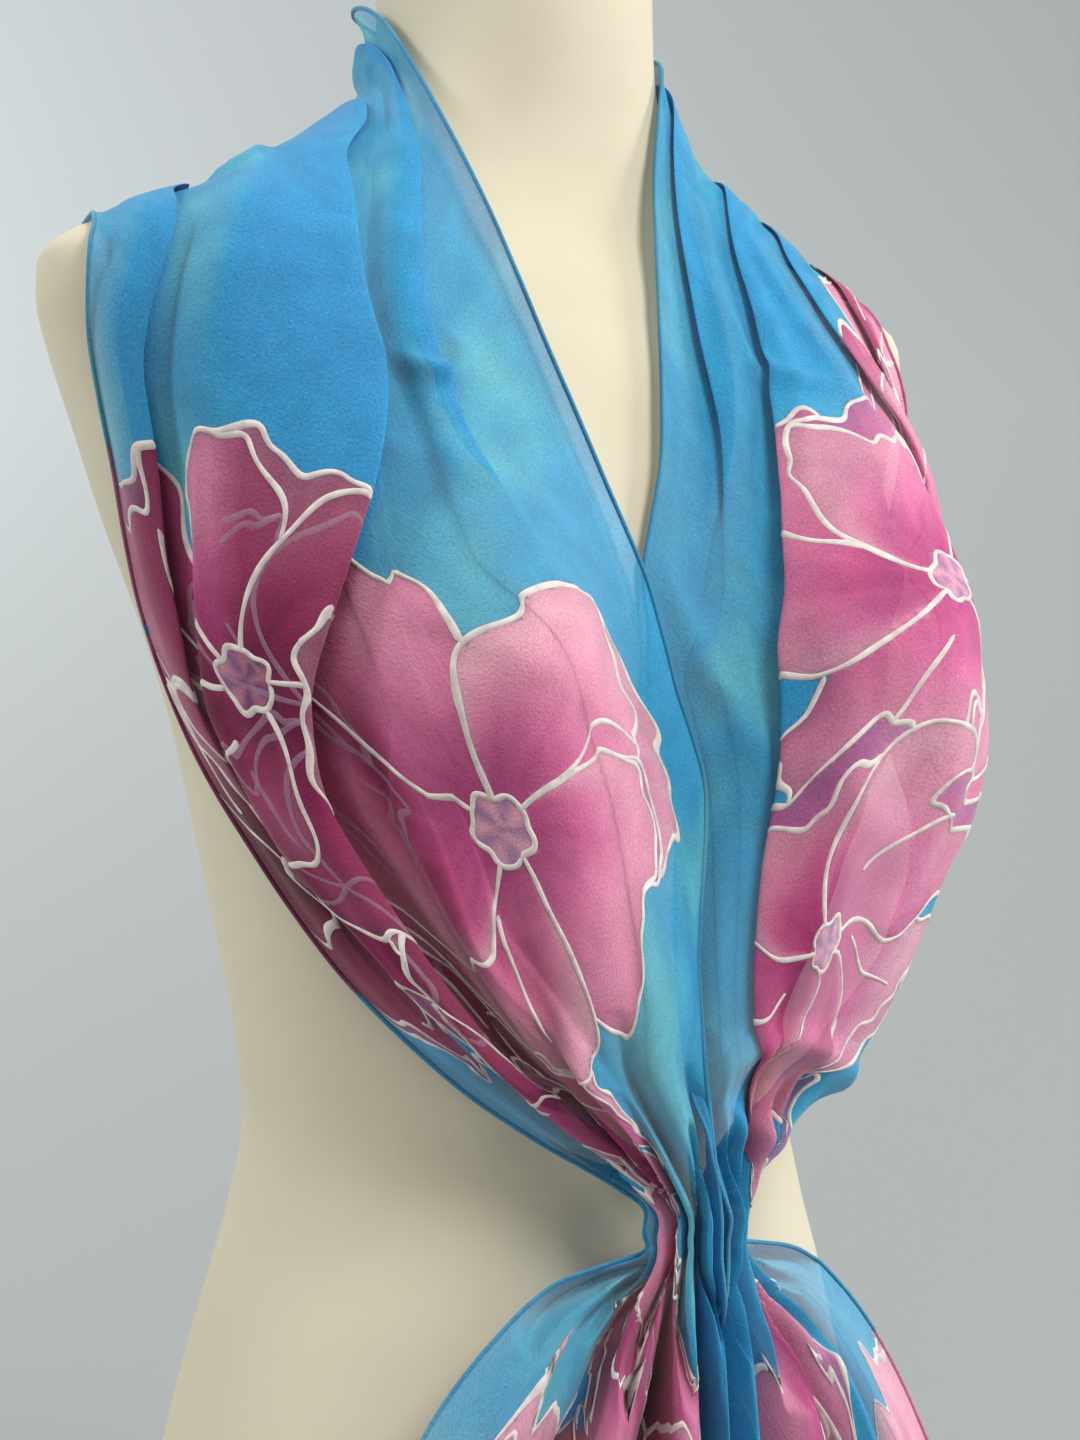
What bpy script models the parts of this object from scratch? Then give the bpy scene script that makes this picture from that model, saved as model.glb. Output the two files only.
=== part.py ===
"""A chiffon scarf worn on a limbless dress form: round the neck, over both shoulders, crossed over on
the chest and drawn in to a gather in front of the waist, with two tails below it. Metres, +Z up, and
the front of the form towards -Y. The form stands on z = 0."""

import math

import bpy
import numpy as np
from mathutils import Vector
from mathutils.bvhtree import BVHTree

# ---------------------------------------------------------------- dress form
FORM_HEIGHT = 0.900
FORM_RINGS = 34
FORM_SIDES = 36
FORM_SQUARENESS = 0.92
BUST_HEIGHT = 0.572
BUST_SPREAD = 0.088
BUST_FULLNESS = 0.058
BUST_WIDTH = 0.055
BUST_BELOW = 0.056
BUST_ABOVE = 0.080

# height, half width, front depth, back depth
FORM_ROWS = (
    (0.000, 0.1500, 0.0980, 0.1000),
    (0.010, 0.1530, 0.1010, 0.1030),
    (0.060, 0.1580, 0.1040, 0.1080),
    (0.150, 0.1630, 0.1080, 0.1160),
    (0.210, 0.1630, 0.1100, 0.1180),
    (0.270, 0.1525, 0.1090, 0.1120),
    (0.330, 0.1365, 0.1050, 0.1000),
    (0.370, 0.1250, 0.0990, 0.0900),
    (0.405, 0.1195, 0.0930, 0.0830),
    (0.440, 0.1230, 0.0910, 0.0840),
    (0.480, 0.1310, 0.0920, 0.0900),
    (0.520, 0.1395, 0.0930, 0.0960),
    (0.560, 0.1485, 0.0930, 0.1010),
    (0.600, 0.1620, 0.0920, 0.1040),
    (0.640, 0.1785, 0.0880, 0.1050),
    (0.680, 0.1935, 0.0820, 0.1030),
    (0.705, 0.2030, 0.0770, 0.0990),
    (0.723, 0.2080, 0.0710, 0.0930),
    (0.735, 0.2080, 0.0670, 0.0880),
    (0.744, 0.2010, 0.0630, 0.0820),
    (0.750, 0.1840, 0.0600, 0.0770),
    (0.760, 0.1550, 0.0560, 0.0710),
    (0.772, 0.1200, 0.0530, 0.0660),
    (0.787, 0.0900, 0.0510, 0.0620),
    (0.804, 0.0695, 0.0510, 0.0600),
    (0.826, 0.0600, 0.0520, 0.0600),
    (0.850, 0.0570, 0.0530, 0.0600),
    (0.880, 0.0565, 0.0530, 0.0600),
    (0.893, 0.0550, 0.0515, 0.0585),
    (0.899, 0.0500, 0.0465, 0.0535),
    (0.900, 0.0440, 0.0405, 0.0475),
)

# ---------------------------------------------------------------- scarf
CLOTH_WALL = 0.0010
SEAM_GAP = 0.0003
SHOULDER_RELIEF = 0.0004
GATHER_RELIEF = 0.0006
GATHER_MARGIN = 0.0030
CLEARANCE = 0.0030
ROWS_PER_STATION = 2
CARRIER_COLUMNS = 25
SETTLING_PASSES = 60
LENGTHWISE_TENSION = 0.62
NORMAL_PASSES = 3

GATHER_CENTRE = (-0.008, -0.1275)
GATHER_HALF_WIDTH = 0.019
GATHER_HALF_DEPTH = 0.018
GATHER_TOP = 0.384
GATHER_BOTTOM = 0.368
GATHER_START = 5.0
GATHER_SWEEP = 110.0

# station: inner hem x, y, z, then outer hem x, y, z
STATIONS = (
    ("right_tail_end", -0.0050, -0.1500, 0.0620, -0.1620, -0.1240, 0.2080),
    ("right_tail_low", -0.0050, -0.1505, 0.1500, -0.1530, -0.1200, 0.2470),
    ("right_tail_mid", -0.0055, -0.1505, 0.2300, -0.1370, -0.1160, 0.2850),
    ("right_tail_high", -0.0065, -0.1495, 0.3000, -0.1080, -0.1140, 0.3260),
    ("right_tail_top", -0.0080, -0.1470, 0.3460, -0.0640, -0.1140, 0.3590),
    ("right_gather_low", -0.0097, -0.1454, 0.3680, -0.0252, -0.1199, 0.3680),
    ("right_gather", -0.0097, -0.1454, 0.3840, -0.0252, -0.1199, 0.3840),
    ("right_draw", -0.0115, -0.1405, 0.4180, -0.0450, -0.1100, 0.3990),
    ("right_rib_low", -0.0125, -0.1290, 0.4700, -0.0820, -0.0880, 0.4270),
    ("right_rib", -0.0045, -0.1220, 0.5070, -0.1190, -0.0610, 0.4700),
    ("right_under_bust", 0.0010, -0.1160, 0.5400, -0.1450, -0.0340, 0.5200),
    ("right_bust", -0.0080, -0.1110, 0.5750, -0.1570, -0.0080, 0.5600),
    ("right_bust_top", -0.0145, -0.1060, 0.6150, -0.1720, 0.0000, 0.6080),
    ("right_chest_low", -0.0290, -0.0980, 0.6580, -0.1890, -0.0150, 0.6560),
    ("right_chest", -0.0440, -0.0840, 0.7060, -0.2020, -0.0240, 0.7000),
    ("right_collar_bone", -0.0560, -0.0640, 0.7580, -0.2040, -0.0290, 0.7320),
    ("right_neck_front", -0.0640, -0.0380, 0.8030, -0.1985, -0.0200, 0.7420),
    ("right_shoulder", -0.0640, -0.0020, 0.8430, -0.1890, 0.0040, 0.7525),
    ("right_shoulder_back", -0.0620, 0.0240, 0.8580, -0.1780, 0.0420, 0.7460),
    ("right_nape_side", -0.0500, 0.0500, 0.8630, -0.1450, 0.0800, 0.7300),
    ("right_nape", -0.0280, 0.0660, 0.8630, -0.0900, 0.1080, 0.7020),
    ("nape", 0.0000, 0.0710, 0.8600, 0.0000, 0.1180, 0.6900),
    ("left_nape", 0.0280, 0.0660, 0.8580, 0.0900, 0.1080, 0.7020),
    ("left_nape_side", 0.0500, 0.0490, 0.8560, 0.1450, 0.0800, 0.7300),
    ("left_shoulder_back", 0.0610, 0.0220, 0.8540, 0.1660, 0.0400, 0.7540),
    ("left_shoulder", 0.0600, -0.0120, 0.8480, 0.1700, 0.0000, 0.7620),
    ("left_neck_front", 0.0450, -0.0400, 0.8300, 0.1640, -0.0360, 0.7480),
    ("left_collar_bone", 0.0280, -0.0580, 0.7820, 0.1680, -0.0480, 0.7300),
    ("left_chest", 0.0140, -0.0790, 0.7220, 0.1810, -0.0460, 0.7000),
    ("left_chest_low", 0.0040, -0.0930, 0.6650, 0.1840, -0.0320, 0.6550),
    ("left_bust_top", -0.0120, -0.1020, 0.6200, 0.1720, -0.0300, 0.6050),
    ("left_bust", -0.0140, -0.1070, 0.5750, 0.1600, -0.0520, 0.5620),
    ("left_under_bust", -0.0040, -0.1100, 0.5400, 0.1480, -0.0840, 0.5220),
    ("left_rib", -0.0080, -0.1170, 0.5070, 0.1300, -0.1040, 0.4870),
    ("left_rib_low", -0.0130, -0.1240, 0.4700, 0.1060, -0.1080, 0.4550),
    ("left_draw", -0.0150, -0.1370, 0.4180, 0.0560, -0.1120, 0.4080),
    ("left_gather", -0.0063, -0.1454, 0.3840, 0.0092, -0.1199, 0.3840),
    ("left_gather_low", -0.0063, -0.1454, 0.3680, 0.0092, -0.1199, 0.3680),
    ("left_tail_top", -0.0068, -0.1450, 0.3480, 0.0580, -0.1140, 0.3560),
    ("left_tail_high", -0.0070, -0.1450, 0.3050, 0.0960, -0.1150, 0.3180),
    ("left_tail_mid", -0.0080, -0.1450, 0.2300, 0.1230, -0.1170, 0.2700),
    ("left_tail_low", -0.0080, -0.1450, 0.1500, 0.1380, -0.1200, 0.2320),
    ("left_tail_end", -0.0080, -0.1445, 0.0620, 0.1460, -0.1230, 0.1950),
)
STATION_INDEX = {row[0]: index for index, row in enumerate(STATIONS)}

# Where the cloth stands off the form: station, height of the puff, its place across (0 inner, 1 outer)
PUFFS = (
    ("right_tail_end", 0.006, 0.50),
    ("right_tail_high", 0.004, 0.50),
    ("right_gather", 0.000, 0.50),
    ("right_rib", 0.004, 0.70),
    ("right_bust", 0.001, 0.70),
    ("right_chest", 0.002, 0.50),
    ("right_shoulder", 0.003, 0.35),
    ("nape", 0.002, 0.50),
    ("left_shoulder", 0.003, 0.35),
    ("left_chest", 0.010, 0.65),
    ("left_chest_low", 0.017, 0.65),
    ("left_bust_top", 0.019, 0.62),
    ("left_bust", 0.022, 0.62),
    ("left_under_bust", 0.026, 0.64),
    ("left_rib", 0.019, 0.66),
    ("left_rib_low", 0.016, 0.66),
    ("left_draw", 0.004, 0.60),
    ("left_gather", 0.000, 0.50),
    ("left_gather_low", 0.000, 0.60),
    ("left_tail_top", 0.012, 0.60),
    ("left_tail_mid", 0.016, 0.60),
    ("left_tail_end", 0.008, 0.50),
)

# The right panel lies over the left one below the crossing: station, lift of its inner hem
HEM_LIFTS = (
    ("right_gather", 0.0000),
    ("right_draw", 0.0015),
    ("right_rib_low", 0.0032),
    ("right_bust", 0.0034),
    ("right_bust_top", 0.0018),
    ("right_chest_low", 0.0000),
    ("left_tail_end", 0.0000),
)
HEM_LIFT_WIDTH = 0.014

# The four folds that run the length of the cloth, counted from the inner hem.
# station, crest (share of the width), overlap, height, outer edge (share), tuck under that edge
FIRST_FOLD = (
    ("right_tail_end", 0.090, -0.006, 0.0120, 0.150, 0.000),
    ("right_tail_high", 0.100, -0.004, 0.0100, 0.170, 0.000),
    ("right_gather_low", 0.150, -0.003, 0.0028, 0.210, 0.000),
    ("right_gather", 0.150, -0.003, 0.0028, 0.210, 0.000),
    ("right_draw", 0.200, -0.004, 0.0030, 0.270, 0.000),
    ("right_rib_low", 0.140, -0.008, 0.0020, 0.260, 0.000),
    ("right_bust", 0.180, -0.012, 0.0010, 0.300, 0.000),
    ("right_bust_top", 0.270, -0.006, 0.0020, 0.380, 0.000),
    ("right_chest_low", 0.310, 0.004, 0.0045, 0.370, 0.000),
    ("right_chest", 0.277, 0.008, 0.0050, 0.335, 0.000),
    ("right_collar_bone", 0.225, 0.010, 0.0055, 0.300, 0.000),
    ("right_neck_front", 0.140, 0.010, 0.0055, 0.215, 0.000),
    ("right_shoulder", 0.080, 0.008, 0.0052, 0.150, 0.000),
    ("nape", 0.100, 0.012, 0.0060, 0.190, 0.000),
    ("left_shoulder", 0.060, 0.010, 0.0060, 0.150, 0.000),
    ("left_collar_bone", 0.075, 0.014, 0.0060, 0.175, 0.000),
    ("left_chest", 0.095, 0.016, 0.0060, 0.200, 0.000),
    ("left_chest_low", 0.130, 0.008, 0.0050, 0.190, 0.000),
    ("left_bust_top", 0.150, -0.004, 0.0030, 0.210, 0.000),
    ("left_bust", 0.120, -0.010, 0.0020, 0.190, 0.000),
    ("left_draw", 0.160, -0.004, 0.0030, 0.220, 0.000),
    ("left_gather", 0.150, -0.003, 0.0028, 0.210, 0.000),
    ("left_gather_low", 0.150, -0.003, 0.0028, 0.210, 0.000),
    ("left_tail_high", 0.110, -0.004, 0.0100, 0.190, 0.000),
    ("left_tail_end", 0.110, -0.007, 0.0130, 0.190, 0.000),
)
SECOND_FOLD = (
    ("right_tail_end", 0.290, -0.006, 0.0130, 0.360, 0.000),
    ("right_tail_high", 0.310, -0.004, 0.0110, 0.390, 0.000),
    ("right_gather_low", 0.370, -0.003, 0.0028, 0.430, 0.000),
    ("right_gather", 0.370, -0.003, 0.0028, 0.430, 0.000),
    ("right_draw", 0.430, -0.003, 0.0045, 0.480, 0.000),
    ("right_rib_low", 0.540, -0.004, 0.0080, 0.590, 0.000),
    ("right_rib", 0.600, -0.006, 0.0060, 0.640, 0.000),
    ("right_under_bust", 0.600, -0.010, 0.0020, 0.660, 0.000),
    ("right_bust", 0.520, -0.008, 0.0010, 0.580, 0.000),
    ("right_bust_top", 0.520, -0.004, 0.0006, 0.580, 0.000),
    ("right_chest_low", 0.500, -0.004, 0.0006, 0.560, 0.000),
    ("right_chest", 0.460, -0.004, 0.0006, 0.520, 0.000),
    ("right_collar_bone", 0.420, -0.004, 0.0006, 0.480, 0.000),
    ("right_neck_front", 0.340, -0.004, 0.0006, 0.400, 0.000),
    ("right_shoulder", 0.250, -0.004, 0.0006, 0.310, 0.000),
    ("right_nape_side", 0.300, 0.006, 0.0040, 0.370, 0.000),
    ("nape", 0.320, 0.014, 0.0060, 0.420, 0.000),
    ("left_shoulder_back", 0.400, 0.014, 0.0060, 0.500, 0.000),
    ("left_shoulder", 0.380, 0.014, 0.0055, 0.490, 0.000),
    ("left_neck_front", 0.340, 0.016, 0.0052, 0.450, 0.000),
    ("left_collar_bone", 0.290, 0.022, 0.0058, 0.430, 0.000),
    ("left_chest", 0.255, 0.034, 0.0075, 0.450, 0.000),
    ("left_chest_low", 0.235, 0.042, 0.0085, 0.500, 0.000),
    ("left_bust_top", 0.248, 0.044, 0.0090, 0.520, 0.000),
    ("left_bust", 0.231, 0.042, 0.0090, 0.500, 0.000),
    ("left_under_bust", 0.200, 0.036, 0.0085, 0.480, 0.000),
    ("left_rib", 0.180, 0.030, 0.0080, 0.440, 0.000),
    ("left_rib_low", 0.190, 0.018, 0.0080, 0.400, 0.000),
    ("left_draw", 0.240, 0.008, 0.0060, 0.380, 0.000),
    ("left_gather", 0.370, -0.003, 0.0028, 0.430, 0.000),
    ("left_gather_low", 0.370, -0.003, 0.0028, 0.430, 0.000),
    ("left_tail_high", 0.330, -0.004, 0.0110, 0.420, 0.000),
    ("left_tail_end", 0.330, -0.007, 0.0130, 0.410, 0.000),
)
THIRD_FOLD = (
    ("right_tail_end", 0.500, -0.007, 0.0110, 0.570, -0.006),
    ("right_tail_high", 0.520, -0.004, 0.0100, 0.600, -0.004),
    ("right_gather_low", 0.590, -0.003, 0.0028, 0.650, -0.003),
    ("right_gather", 0.590, -0.003, 0.0028, 0.650, -0.003),
    ("right_draw", 0.610, 0.004, 0.0065, 0.740, 0.001),
    ("right_rib_low", 0.700, 0.008, 0.0120, 0.830, 0.003),
    ("right_rib", 0.715, 0.012, 0.0130, 0.850, 0.004),
    ("right_under_bust", 0.730, 0.016, 0.0120, 0.880, 0.004),
    ("right_bust", 0.680, 0.030, 0.0100, 0.880, 0.003),
    ("right_bust_top", 0.560, 0.046, 0.0090, 0.830, 0.000),
    ("right_chest_low", 0.465, 0.056, 0.0080, 0.810, -0.004),
    ("right_chest", 0.395, 0.056, 0.0080, 0.770, -0.006),
    ("right_collar_bone", 0.385, 0.048, 0.0085, 0.730, -0.006),
    ("right_neck_front", 0.345, 0.040, 0.0085, 0.640, -0.008),
    ("right_shoulder", 0.245, 0.034, 0.0090, 0.510, -0.008),
    ("right_nape_side", 0.420, 0.024, 0.0080, 0.610, -0.006),
    ("nape", 0.540, 0.016, 0.0060, 0.660, -0.006),
    ("left_shoulder_back", 0.620, 0.010, 0.0060, 0.710, -0.006),
    ("left_shoulder", 0.600, 0.010, 0.0050, 0.690, -0.006),
    ("left_neck_front", 0.550, 0.012, 0.0050, 0.650, -0.006),
    ("left_collar_bone", 0.530, 0.012, 0.0050, 0.640, -0.006),
    ("left_chest", 0.560, 0.008, 0.0060, 0.660, -0.008),
    ("left_chest_low", 0.640, 0.000, 0.0040, 0.720, -0.010),
    ("left_bust_top", 0.660, -0.008, 0.0030, 0.730, -0.010),
    ("left_bust", 0.650, -0.008, 0.0030, 0.720, -0.010),
    ("left_rib", 0.620, -0.008, 0.0040, 0.710, -0.008),
    ("left_draw", 0.560, -0.003, 0.0060, 0.660, -0.003),
    ("left_gather", 0.590, -0.003, 0.0028, 0.650, -0.003),
    ("left_gather_low", 0.590, -0.003, 0.0028, 0.650, -0.003),
    ("left_tail_high", 0.560, -0.006, 0.0090, 0.650, -0.006),
    ("left_tail_end", 0.550, -0.009, 0.0110, 0.640, -0.008),
)
FOURTH_FOLD = (
    ("right_tail_end", 0.740, -0.016, 0.0050, 0.840, 0.000),
    ("right_tail_high", 0.750, -0.008, 0.0050, 0.840, 0.000),
    ("right_gather_low", 0.800, -0.003, 0.0020, 0.860, 0.000),
    ("right_gather", 0.800, -0.003, 0.0020, 0.860, 0.000),
    ("right_draw", 0.860, -0.002, 0.0018, 0.910, 0.000),
    ("right_rib", 0.920, -0.003, 0.0030, 0.960, 0.000),
    ("right_bust", 0.925, 0.003, 0.0036, 0.960, 0.000),
    ("right_bust_top", 0.885, 0.010, 0.0040, 0.945, 0.000),
    ("right_chest_low", 0.880, 0.012, 0.0045, 0.950, 0.000),
    ("right_chest", 0.860, 0.013, 0.0045, 0.945, 0.000),
    ("right_collar_bone", 0.815, 0.014, 0.0050, 0.920, 0.000),
    ("right_neck_front", 0.770, 0.014, 0.0050, 0.880, 0.000),
    ("right_shoulder", 0.720, 0.014, 0.0050, 0.830, 0.000),
    ("nape", 0.760, 0.014, 0.0060, 0.860, 0.000),
    ("left_shoulder_back", 0.820, 0.010, 0.0055, 0.910, 0.000),
    ("left_shoulder", 0.800, 0.010, 0.0045, 0.890, 0.000),
    ("left_collar_bone", 0.770, 0.010, 0.0045, 0.860, 0.000),
    ("left_chest", 0.800, 0.006, 0.0050, 0.880, 0.000),
    ("left_chest_low", 0.860, -0.004, 0.0030, 0.920, 0.000),
    ("left_bust", 0.885, -0.008, 0.0030, 0.940, 0.000),
    ("left_rib", 0.870, -0.006, 0.0030, 0.930, 0.000),
    ("left_draw", 0.800, -0.003, 0.0025, 0.860, 0.000),
    ("left_gather", 0.800, -0.003, 0.0020, 0.860, 0.000),
    ("left_gather_low", 0.800, -0.003, 0.0020, 0.860, 0.000),
    ("left_tail_high", 0.790, -0.008, 0.0060, 0.880, 0.000),
    ("left_tail_end", 0.780, -0.014, 0.0080, 0.880, 0.000),
)
FOLDS = (FIRST_FOLD, SECOND_FOLD, THIRD_FOLD, FOURTH_FOLD)
TUCKED_FOLD = 2
LEAST_SPACE = 0.0020
LEAST_TURN = 0.0010
LOW_RUN_POINTS = (2, 2, 2, 1)
MIDDLE_RUN_POINTS = (0, 2, 2, 0)
TOP_RUN_POINTS = (0, 2, 2, 0)
LAST_RUN_POINTS = 0

# piece: first station, last station, colour
PIECES = (
    ("scarf_tail_right", "right_tail_end", "right_gather_low", (0.50, 0.16, 0.36, 1.0)),
    ("scarf_front_right", "right_gather", "right_shoulder", (0.10, 0.38, 0.66, 1.0)),
    ("scarf_neck_back", "right_shoulder", "left_shoulder", (0.08, 0.33, 0.62, 1.0)),
    ("scarf_front_left", "left_shoulder", "left_gather", (0.11, 0.40, 0.68, 1.0)),
    ("scarf_tail_left", "left_gather_low", "left_tail_end", (0.52, 0.18, 0.38, 1.0)),
)
GATHER_COLOUR = (0.07, 0.30, 0.58, 1.0)
FORM_COLOUR = (0.78, 0.74, 0.62, 1.0)


# ---------------------------------------------------------------- curves through rows
def smooth_value(places, values, wanted):
    """Values on a curve through the rows that never overshoots them."""
    places = np.asarray(places, float)
    values = np.asarray(values, float)
    wanted = np.asarray(wanted, float)
    step = np.diff(places)
    slope = np.diff(values) / step
    tangent = np.zeros_like(values)
    for k in range(1, len(places) - 1):
        if slope[k - 1] * slope[k] > 0:
            before = 2 * step[k] + step[k - 1]
            after = step[k] + 2 * step[k - 1]
            tangent[k] = (before + after) / (before / slope[k - 1] + after / slope[k])
    k = np.clip(np.searchsorted(places, wanted, side="right") - 1, 0, len(places) - 2)
    t = np.clip((wanted - places[k]) / step[k], 0.0, 1.0)
    square = t * t
    cube = square * t
    return (
        (2 * cube - 3 * square + 1) * values[k]
        + (cube - 2 * square + t) * step[k] * tangent[k]
        + (3 * square - 2 * cube) * values[k + 1]
        + (cube - square) * step[k] * tangent[k + 1]
    )


def smooth_path(points, wanted):
    """Points on a spline through rows numbered 0, 1, 2 and so on."""
    points = np.asarray(points, float)
    ends = np.vstack([2 * points[0] - points[1], points, 2 * points[-1] - points[-2]])
    k = np.clip(np.floor(wanted).astype(int), 0, len(points) - 2)
    t = (wanted - k)[:, None]
    a, b, c, d = ends[k], ends[k + 1], ends[k + 2], ends[k + 3]
    return 0.5 * (
        2 * b + (c - a) * t + (2 * a - 5 * b + 4 * c - d) * t**2 + (3 * b - a - 3 * c + d) * t**3
    )


def column(rows, index, stations):
    """One column of a table whose rows start with a station's name."""
    places = [STATION_INDEX[row[0]] for row in rows]
    return smooth_value(places, [row[index] for row in rows], stations)


# ---------------------------------------------------------------- dress form
def form_ring(height, half_width, front, back, sides):
    """One level of the form: a rounded oval, with the bust raised from its front."""
    angle = np.linspace(0, 2 * math.pi, sides, endpoint=False)
    across = np.cos(angle)
    along = np.sin(angle)
    x = half_width * np.sign(across) * np.abs(across) ** FORM_SQUARENESS
    depth = np.where(along < 0, front, back)
    y = depth * np.sign(along) * np.abs(along) ** FORM_SQUARENESS
    rise = height - BUST_HEIGHT
    reach = BUST_BELOW if rise < 0 else BUST_ABOVE
    for side in (-1, 1):
        swell = np.exp(-(((x - side * BUST_SPREAD) / BUST_WIDTH) ** 2) - (rise / reach) ** 2)
        y = y - BUST_FULLNESS * swell * np.clip(-2.2 * along, 0, 1)
    return np.stack([x, y, np.full_like(x, height)], -1)


def form_rings(heights, sides):
    rows = np.array(FORM_ROWS)
    half_width = smooth_value(rows[:, 0], rows[:, 1], heights)
    front = smooth_value(rows[:, 0], rows[:, 2], heights)
    back = smooth_value(rows[:, 0], rows[:, 3], heights)
    return np.array([
        form_ring(heights[i], half_width[i], front[i], back[i], sides) for i in range(len(heights))
    ])


def ring_faces(rings, sides):
    faces = []
    for i in range(rings - 1):
        for j in range(sides):
            a = i * sides + j
            b = i * sides + (j + 1) % sides
            faces.append((a, b, b + sides, a + sides))
    return faces


def form_levels():
    """Heights of the rings that the form is built from."""
    return np.concatenate([
        [0.0, 0.010],
        np.linspace(0.045, 0.880, FORM_RINGS - 5),
        [0.893, 0.899, FORM_HEIGHT],
    ])


def form_surfaces():
    """The form that the cloth is laid on: a fine copy of it, and its own faces."""
    surfaces = []
    for heights, sides in ((np.linspace(0, FORM_HEIGHT, 110), 96), (form_levels(), FORM_SIDES)):
        points = [Vector(point) for point in form_rings(heights, sides).reshape(-1, 3)]
        surfaces.append(BVHTree.FromPolygons(points, ring_faces(len(heights), sides)))
    return surfaces


# ---------------------------------------------------------------- cloth laid over the form
def gather_outline(side, share):
    """A point round the gather, from the front (share 0) towards the back (share 1)."""
    angle = np.radians(GATHER_START + GATHER_SWEEP * share)
    x = GATHER_CENTRE[0] + side * GATHER_HALF_WIDTH * np.sin(angle)
    y = GATHER_CENTRE[1] - GATHER_HALF_DEPTH * np.cos(angle)
    return x, y


def push_off(points, surfaces, least):
    """Moves each point that is nearer than the least distance to the form straight off it."""
    for i in range(points.shape[0]):
        for j in range(points.shape[1]):
            for surface in surfaces:
                place = Vector(points[i, j])
                on_form, outward = surface.find_nearest(place)[:2]
                if (place - on_form).dot(outward) < least:
                    points[i, j] = on_form + outward * least
    return points


def outward_normals(sheet):
    """Unit normals of a grid of points, facing off the form and evened out."""
    along = np.gradient(sheet, axis=0)
    across = np.gradient(sheet, axis=1)
    normal = np.cross(along, across)
    normal /= np.maximum(np.linalg.norm(normal, axis=-1, keepdims=True), 1e-12)
    for count in range(NORMAL_PASSES):
        padded = np.pad(normal, ((1, 1), (1, 1), (0, 0)), mode="edge")
        beside = padded[1:-1, 2:] + padded[1:-1, :-2]
        before_after = padded[2:, 1:-1] + padded[:-2, 1:-1]
        normal = 0.4 * normal + 0.2 * beside + 0.1 * before_after
        normal /= np.linalg.norm(normal, axis=-1, keepdims=True)
    return normal


def laid_cloth(stations, surfaces):
    """The plain sheet under the folds, tight between its hems and the gather, and off the form."""
    table = np.array([row[1:] for row in STATIONS])
    inner = smooth_path(table[:, :3], stations)
    outer = smooth_path(table[:, 3:], stations)
    across = np.linspace(0, 1, CARRIER_COLUMNS)
    t = across[None, :, None]
    sheet = inner[:, None] * (1 - t) + outer[:, None] * t
    away = outward_normals(sheet)
    worn = (stations > STATION_INDEX["right_gather"]) & (stations < STATION_INDEX["left_gather"])
    bulge = np.where(worn, 0.050, 0.0)[:, None, None] * np.sin(math.pi * t)
    sheet = sheet + away * bulge
    fixed = np.zeros(len(stations), bool)
    fixed[0] = True
    fixed[-1] = True
    for low, high, side in (
        ("right_gather_low", "right_gather", -1),
        ("left_gather", "left_gather_low", 1),
    ):
        held = (stations >= STATION_INDEX[low]) & (stations <= STATION_INDEX[high])
        x, y = gather_outline(side, across)
        for i in np.flatnonzero(held):
            sheet[i] = np.stack([x, y, np.full_like(x, inner[i, 2])], -1)
        fixed |= held
    free = ~fixed
    for count in range(SETTLING_PASSES):
        settled = sheet.copy()
        along = 0.5 * (sheet[2:, 1:-1] + sheet[:-2, 1:-1])
        side_by_side = 0.5 * (sheet[1:-1, 2:] + sheet[1:-1, :-2])
        settled[1:-1, 1:-1] = (
            LENGTHWISE_TENSION * along + (1 - LENGTHWISE_TENSION) * side_by_side
        )
        sheet = np.where(free[:, None, None], settled, sheet)
        if count % 3 == 2 or count > SETTLING_PASSES - 4:
            sheet[free] = push_off(sheet[free], surfaces, CLEARANCE)
    return sheet


# ---------------------------------------------------------------- folds across the cloth
def run_to(places, heights, place, height, between):
    """Adds a point, after some evenly spaced ones on the way to it."""
    start = places[-1]
    level = heights[-1]
    for step in range(1, between + 2):
        share = step / (between + 1)
        places.append(start + (place - start) * share)
        heights.append(level + (height - level) * share)


def fold_section(station, width):
    """Places across (metres from the inner hem) and heights of the cloth at one station."""
    places = [0.0]
    heights = [0.0]
    reached = 0.0
    for number, rows in enumerate(FOLDS):
        crest = float(column(rows, 1, station)) * width
        overlap = float(column(rows, 2, station))
        height = float(column(rows, 3, station))
        edge = float(column(rows, 4, station)) * width
        tuck = float(column(rows, 5, station))
        turn = max(0.30 * height, LEAST_TURN)
        if overlap < 0.0:
            crest = max(crest, reached + turn + LEAST_SPACE - overlap)
        back = max(crest + overlap, reached + turn + LEAST_SPACE)
        low_start = back - turn
        run_to(places, heights, low_start, 0.0, LOW_RUN_POINTS[number])
        run_to(places, heights, back, 0.30 * height, 0)
        run_to(places, heights, crest, 0.70 * height, MIDDLE_RUN_POINTS[number])
        run_to(places, heights, crest + turn, height, 0)
        edge = max(edge, crest + 2 * turn + LEAST_SPACE, back + 2 * turn + LEAST_SPACE)
        if number == TUCKED_FOLD:
            inside = edge - tuck
            run_to(places, heights, edge - turn, height, TOP_RUN_POINTS[number])
            run_to(places, heights, edge, 0.70 * height, 0)
            run_to(places, heights, inside, 0.30 * height, 0)
            run_to(places, heights, inside + turn, 0.0, 0)
            reached = max(edge, inside + turn)
        else:
            fall = max(1.2 * height, 0.002)
            run_to(places, heights, edge, 0.92 * height, TOP_RUN_POINTS[number])
            run_to(places, heights, edge + fall, 0.0, 0)
            reached = edge + fall
    run_to(places, heights, max(width, reached + LEAST_SPACE), 0.0, LAST_RUN_POINTS)
    places = np.array(places)
    heights = np.array(heights)
    lift = float(column(HEM_LIFTS, 1, station))
    heights = heights + lift * np.exp(-((places / HEM_LIFT_WIDTH) ** 2))
    if places[-1] > width:
        places = places * width / places[-1]
    return places, heights


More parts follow.
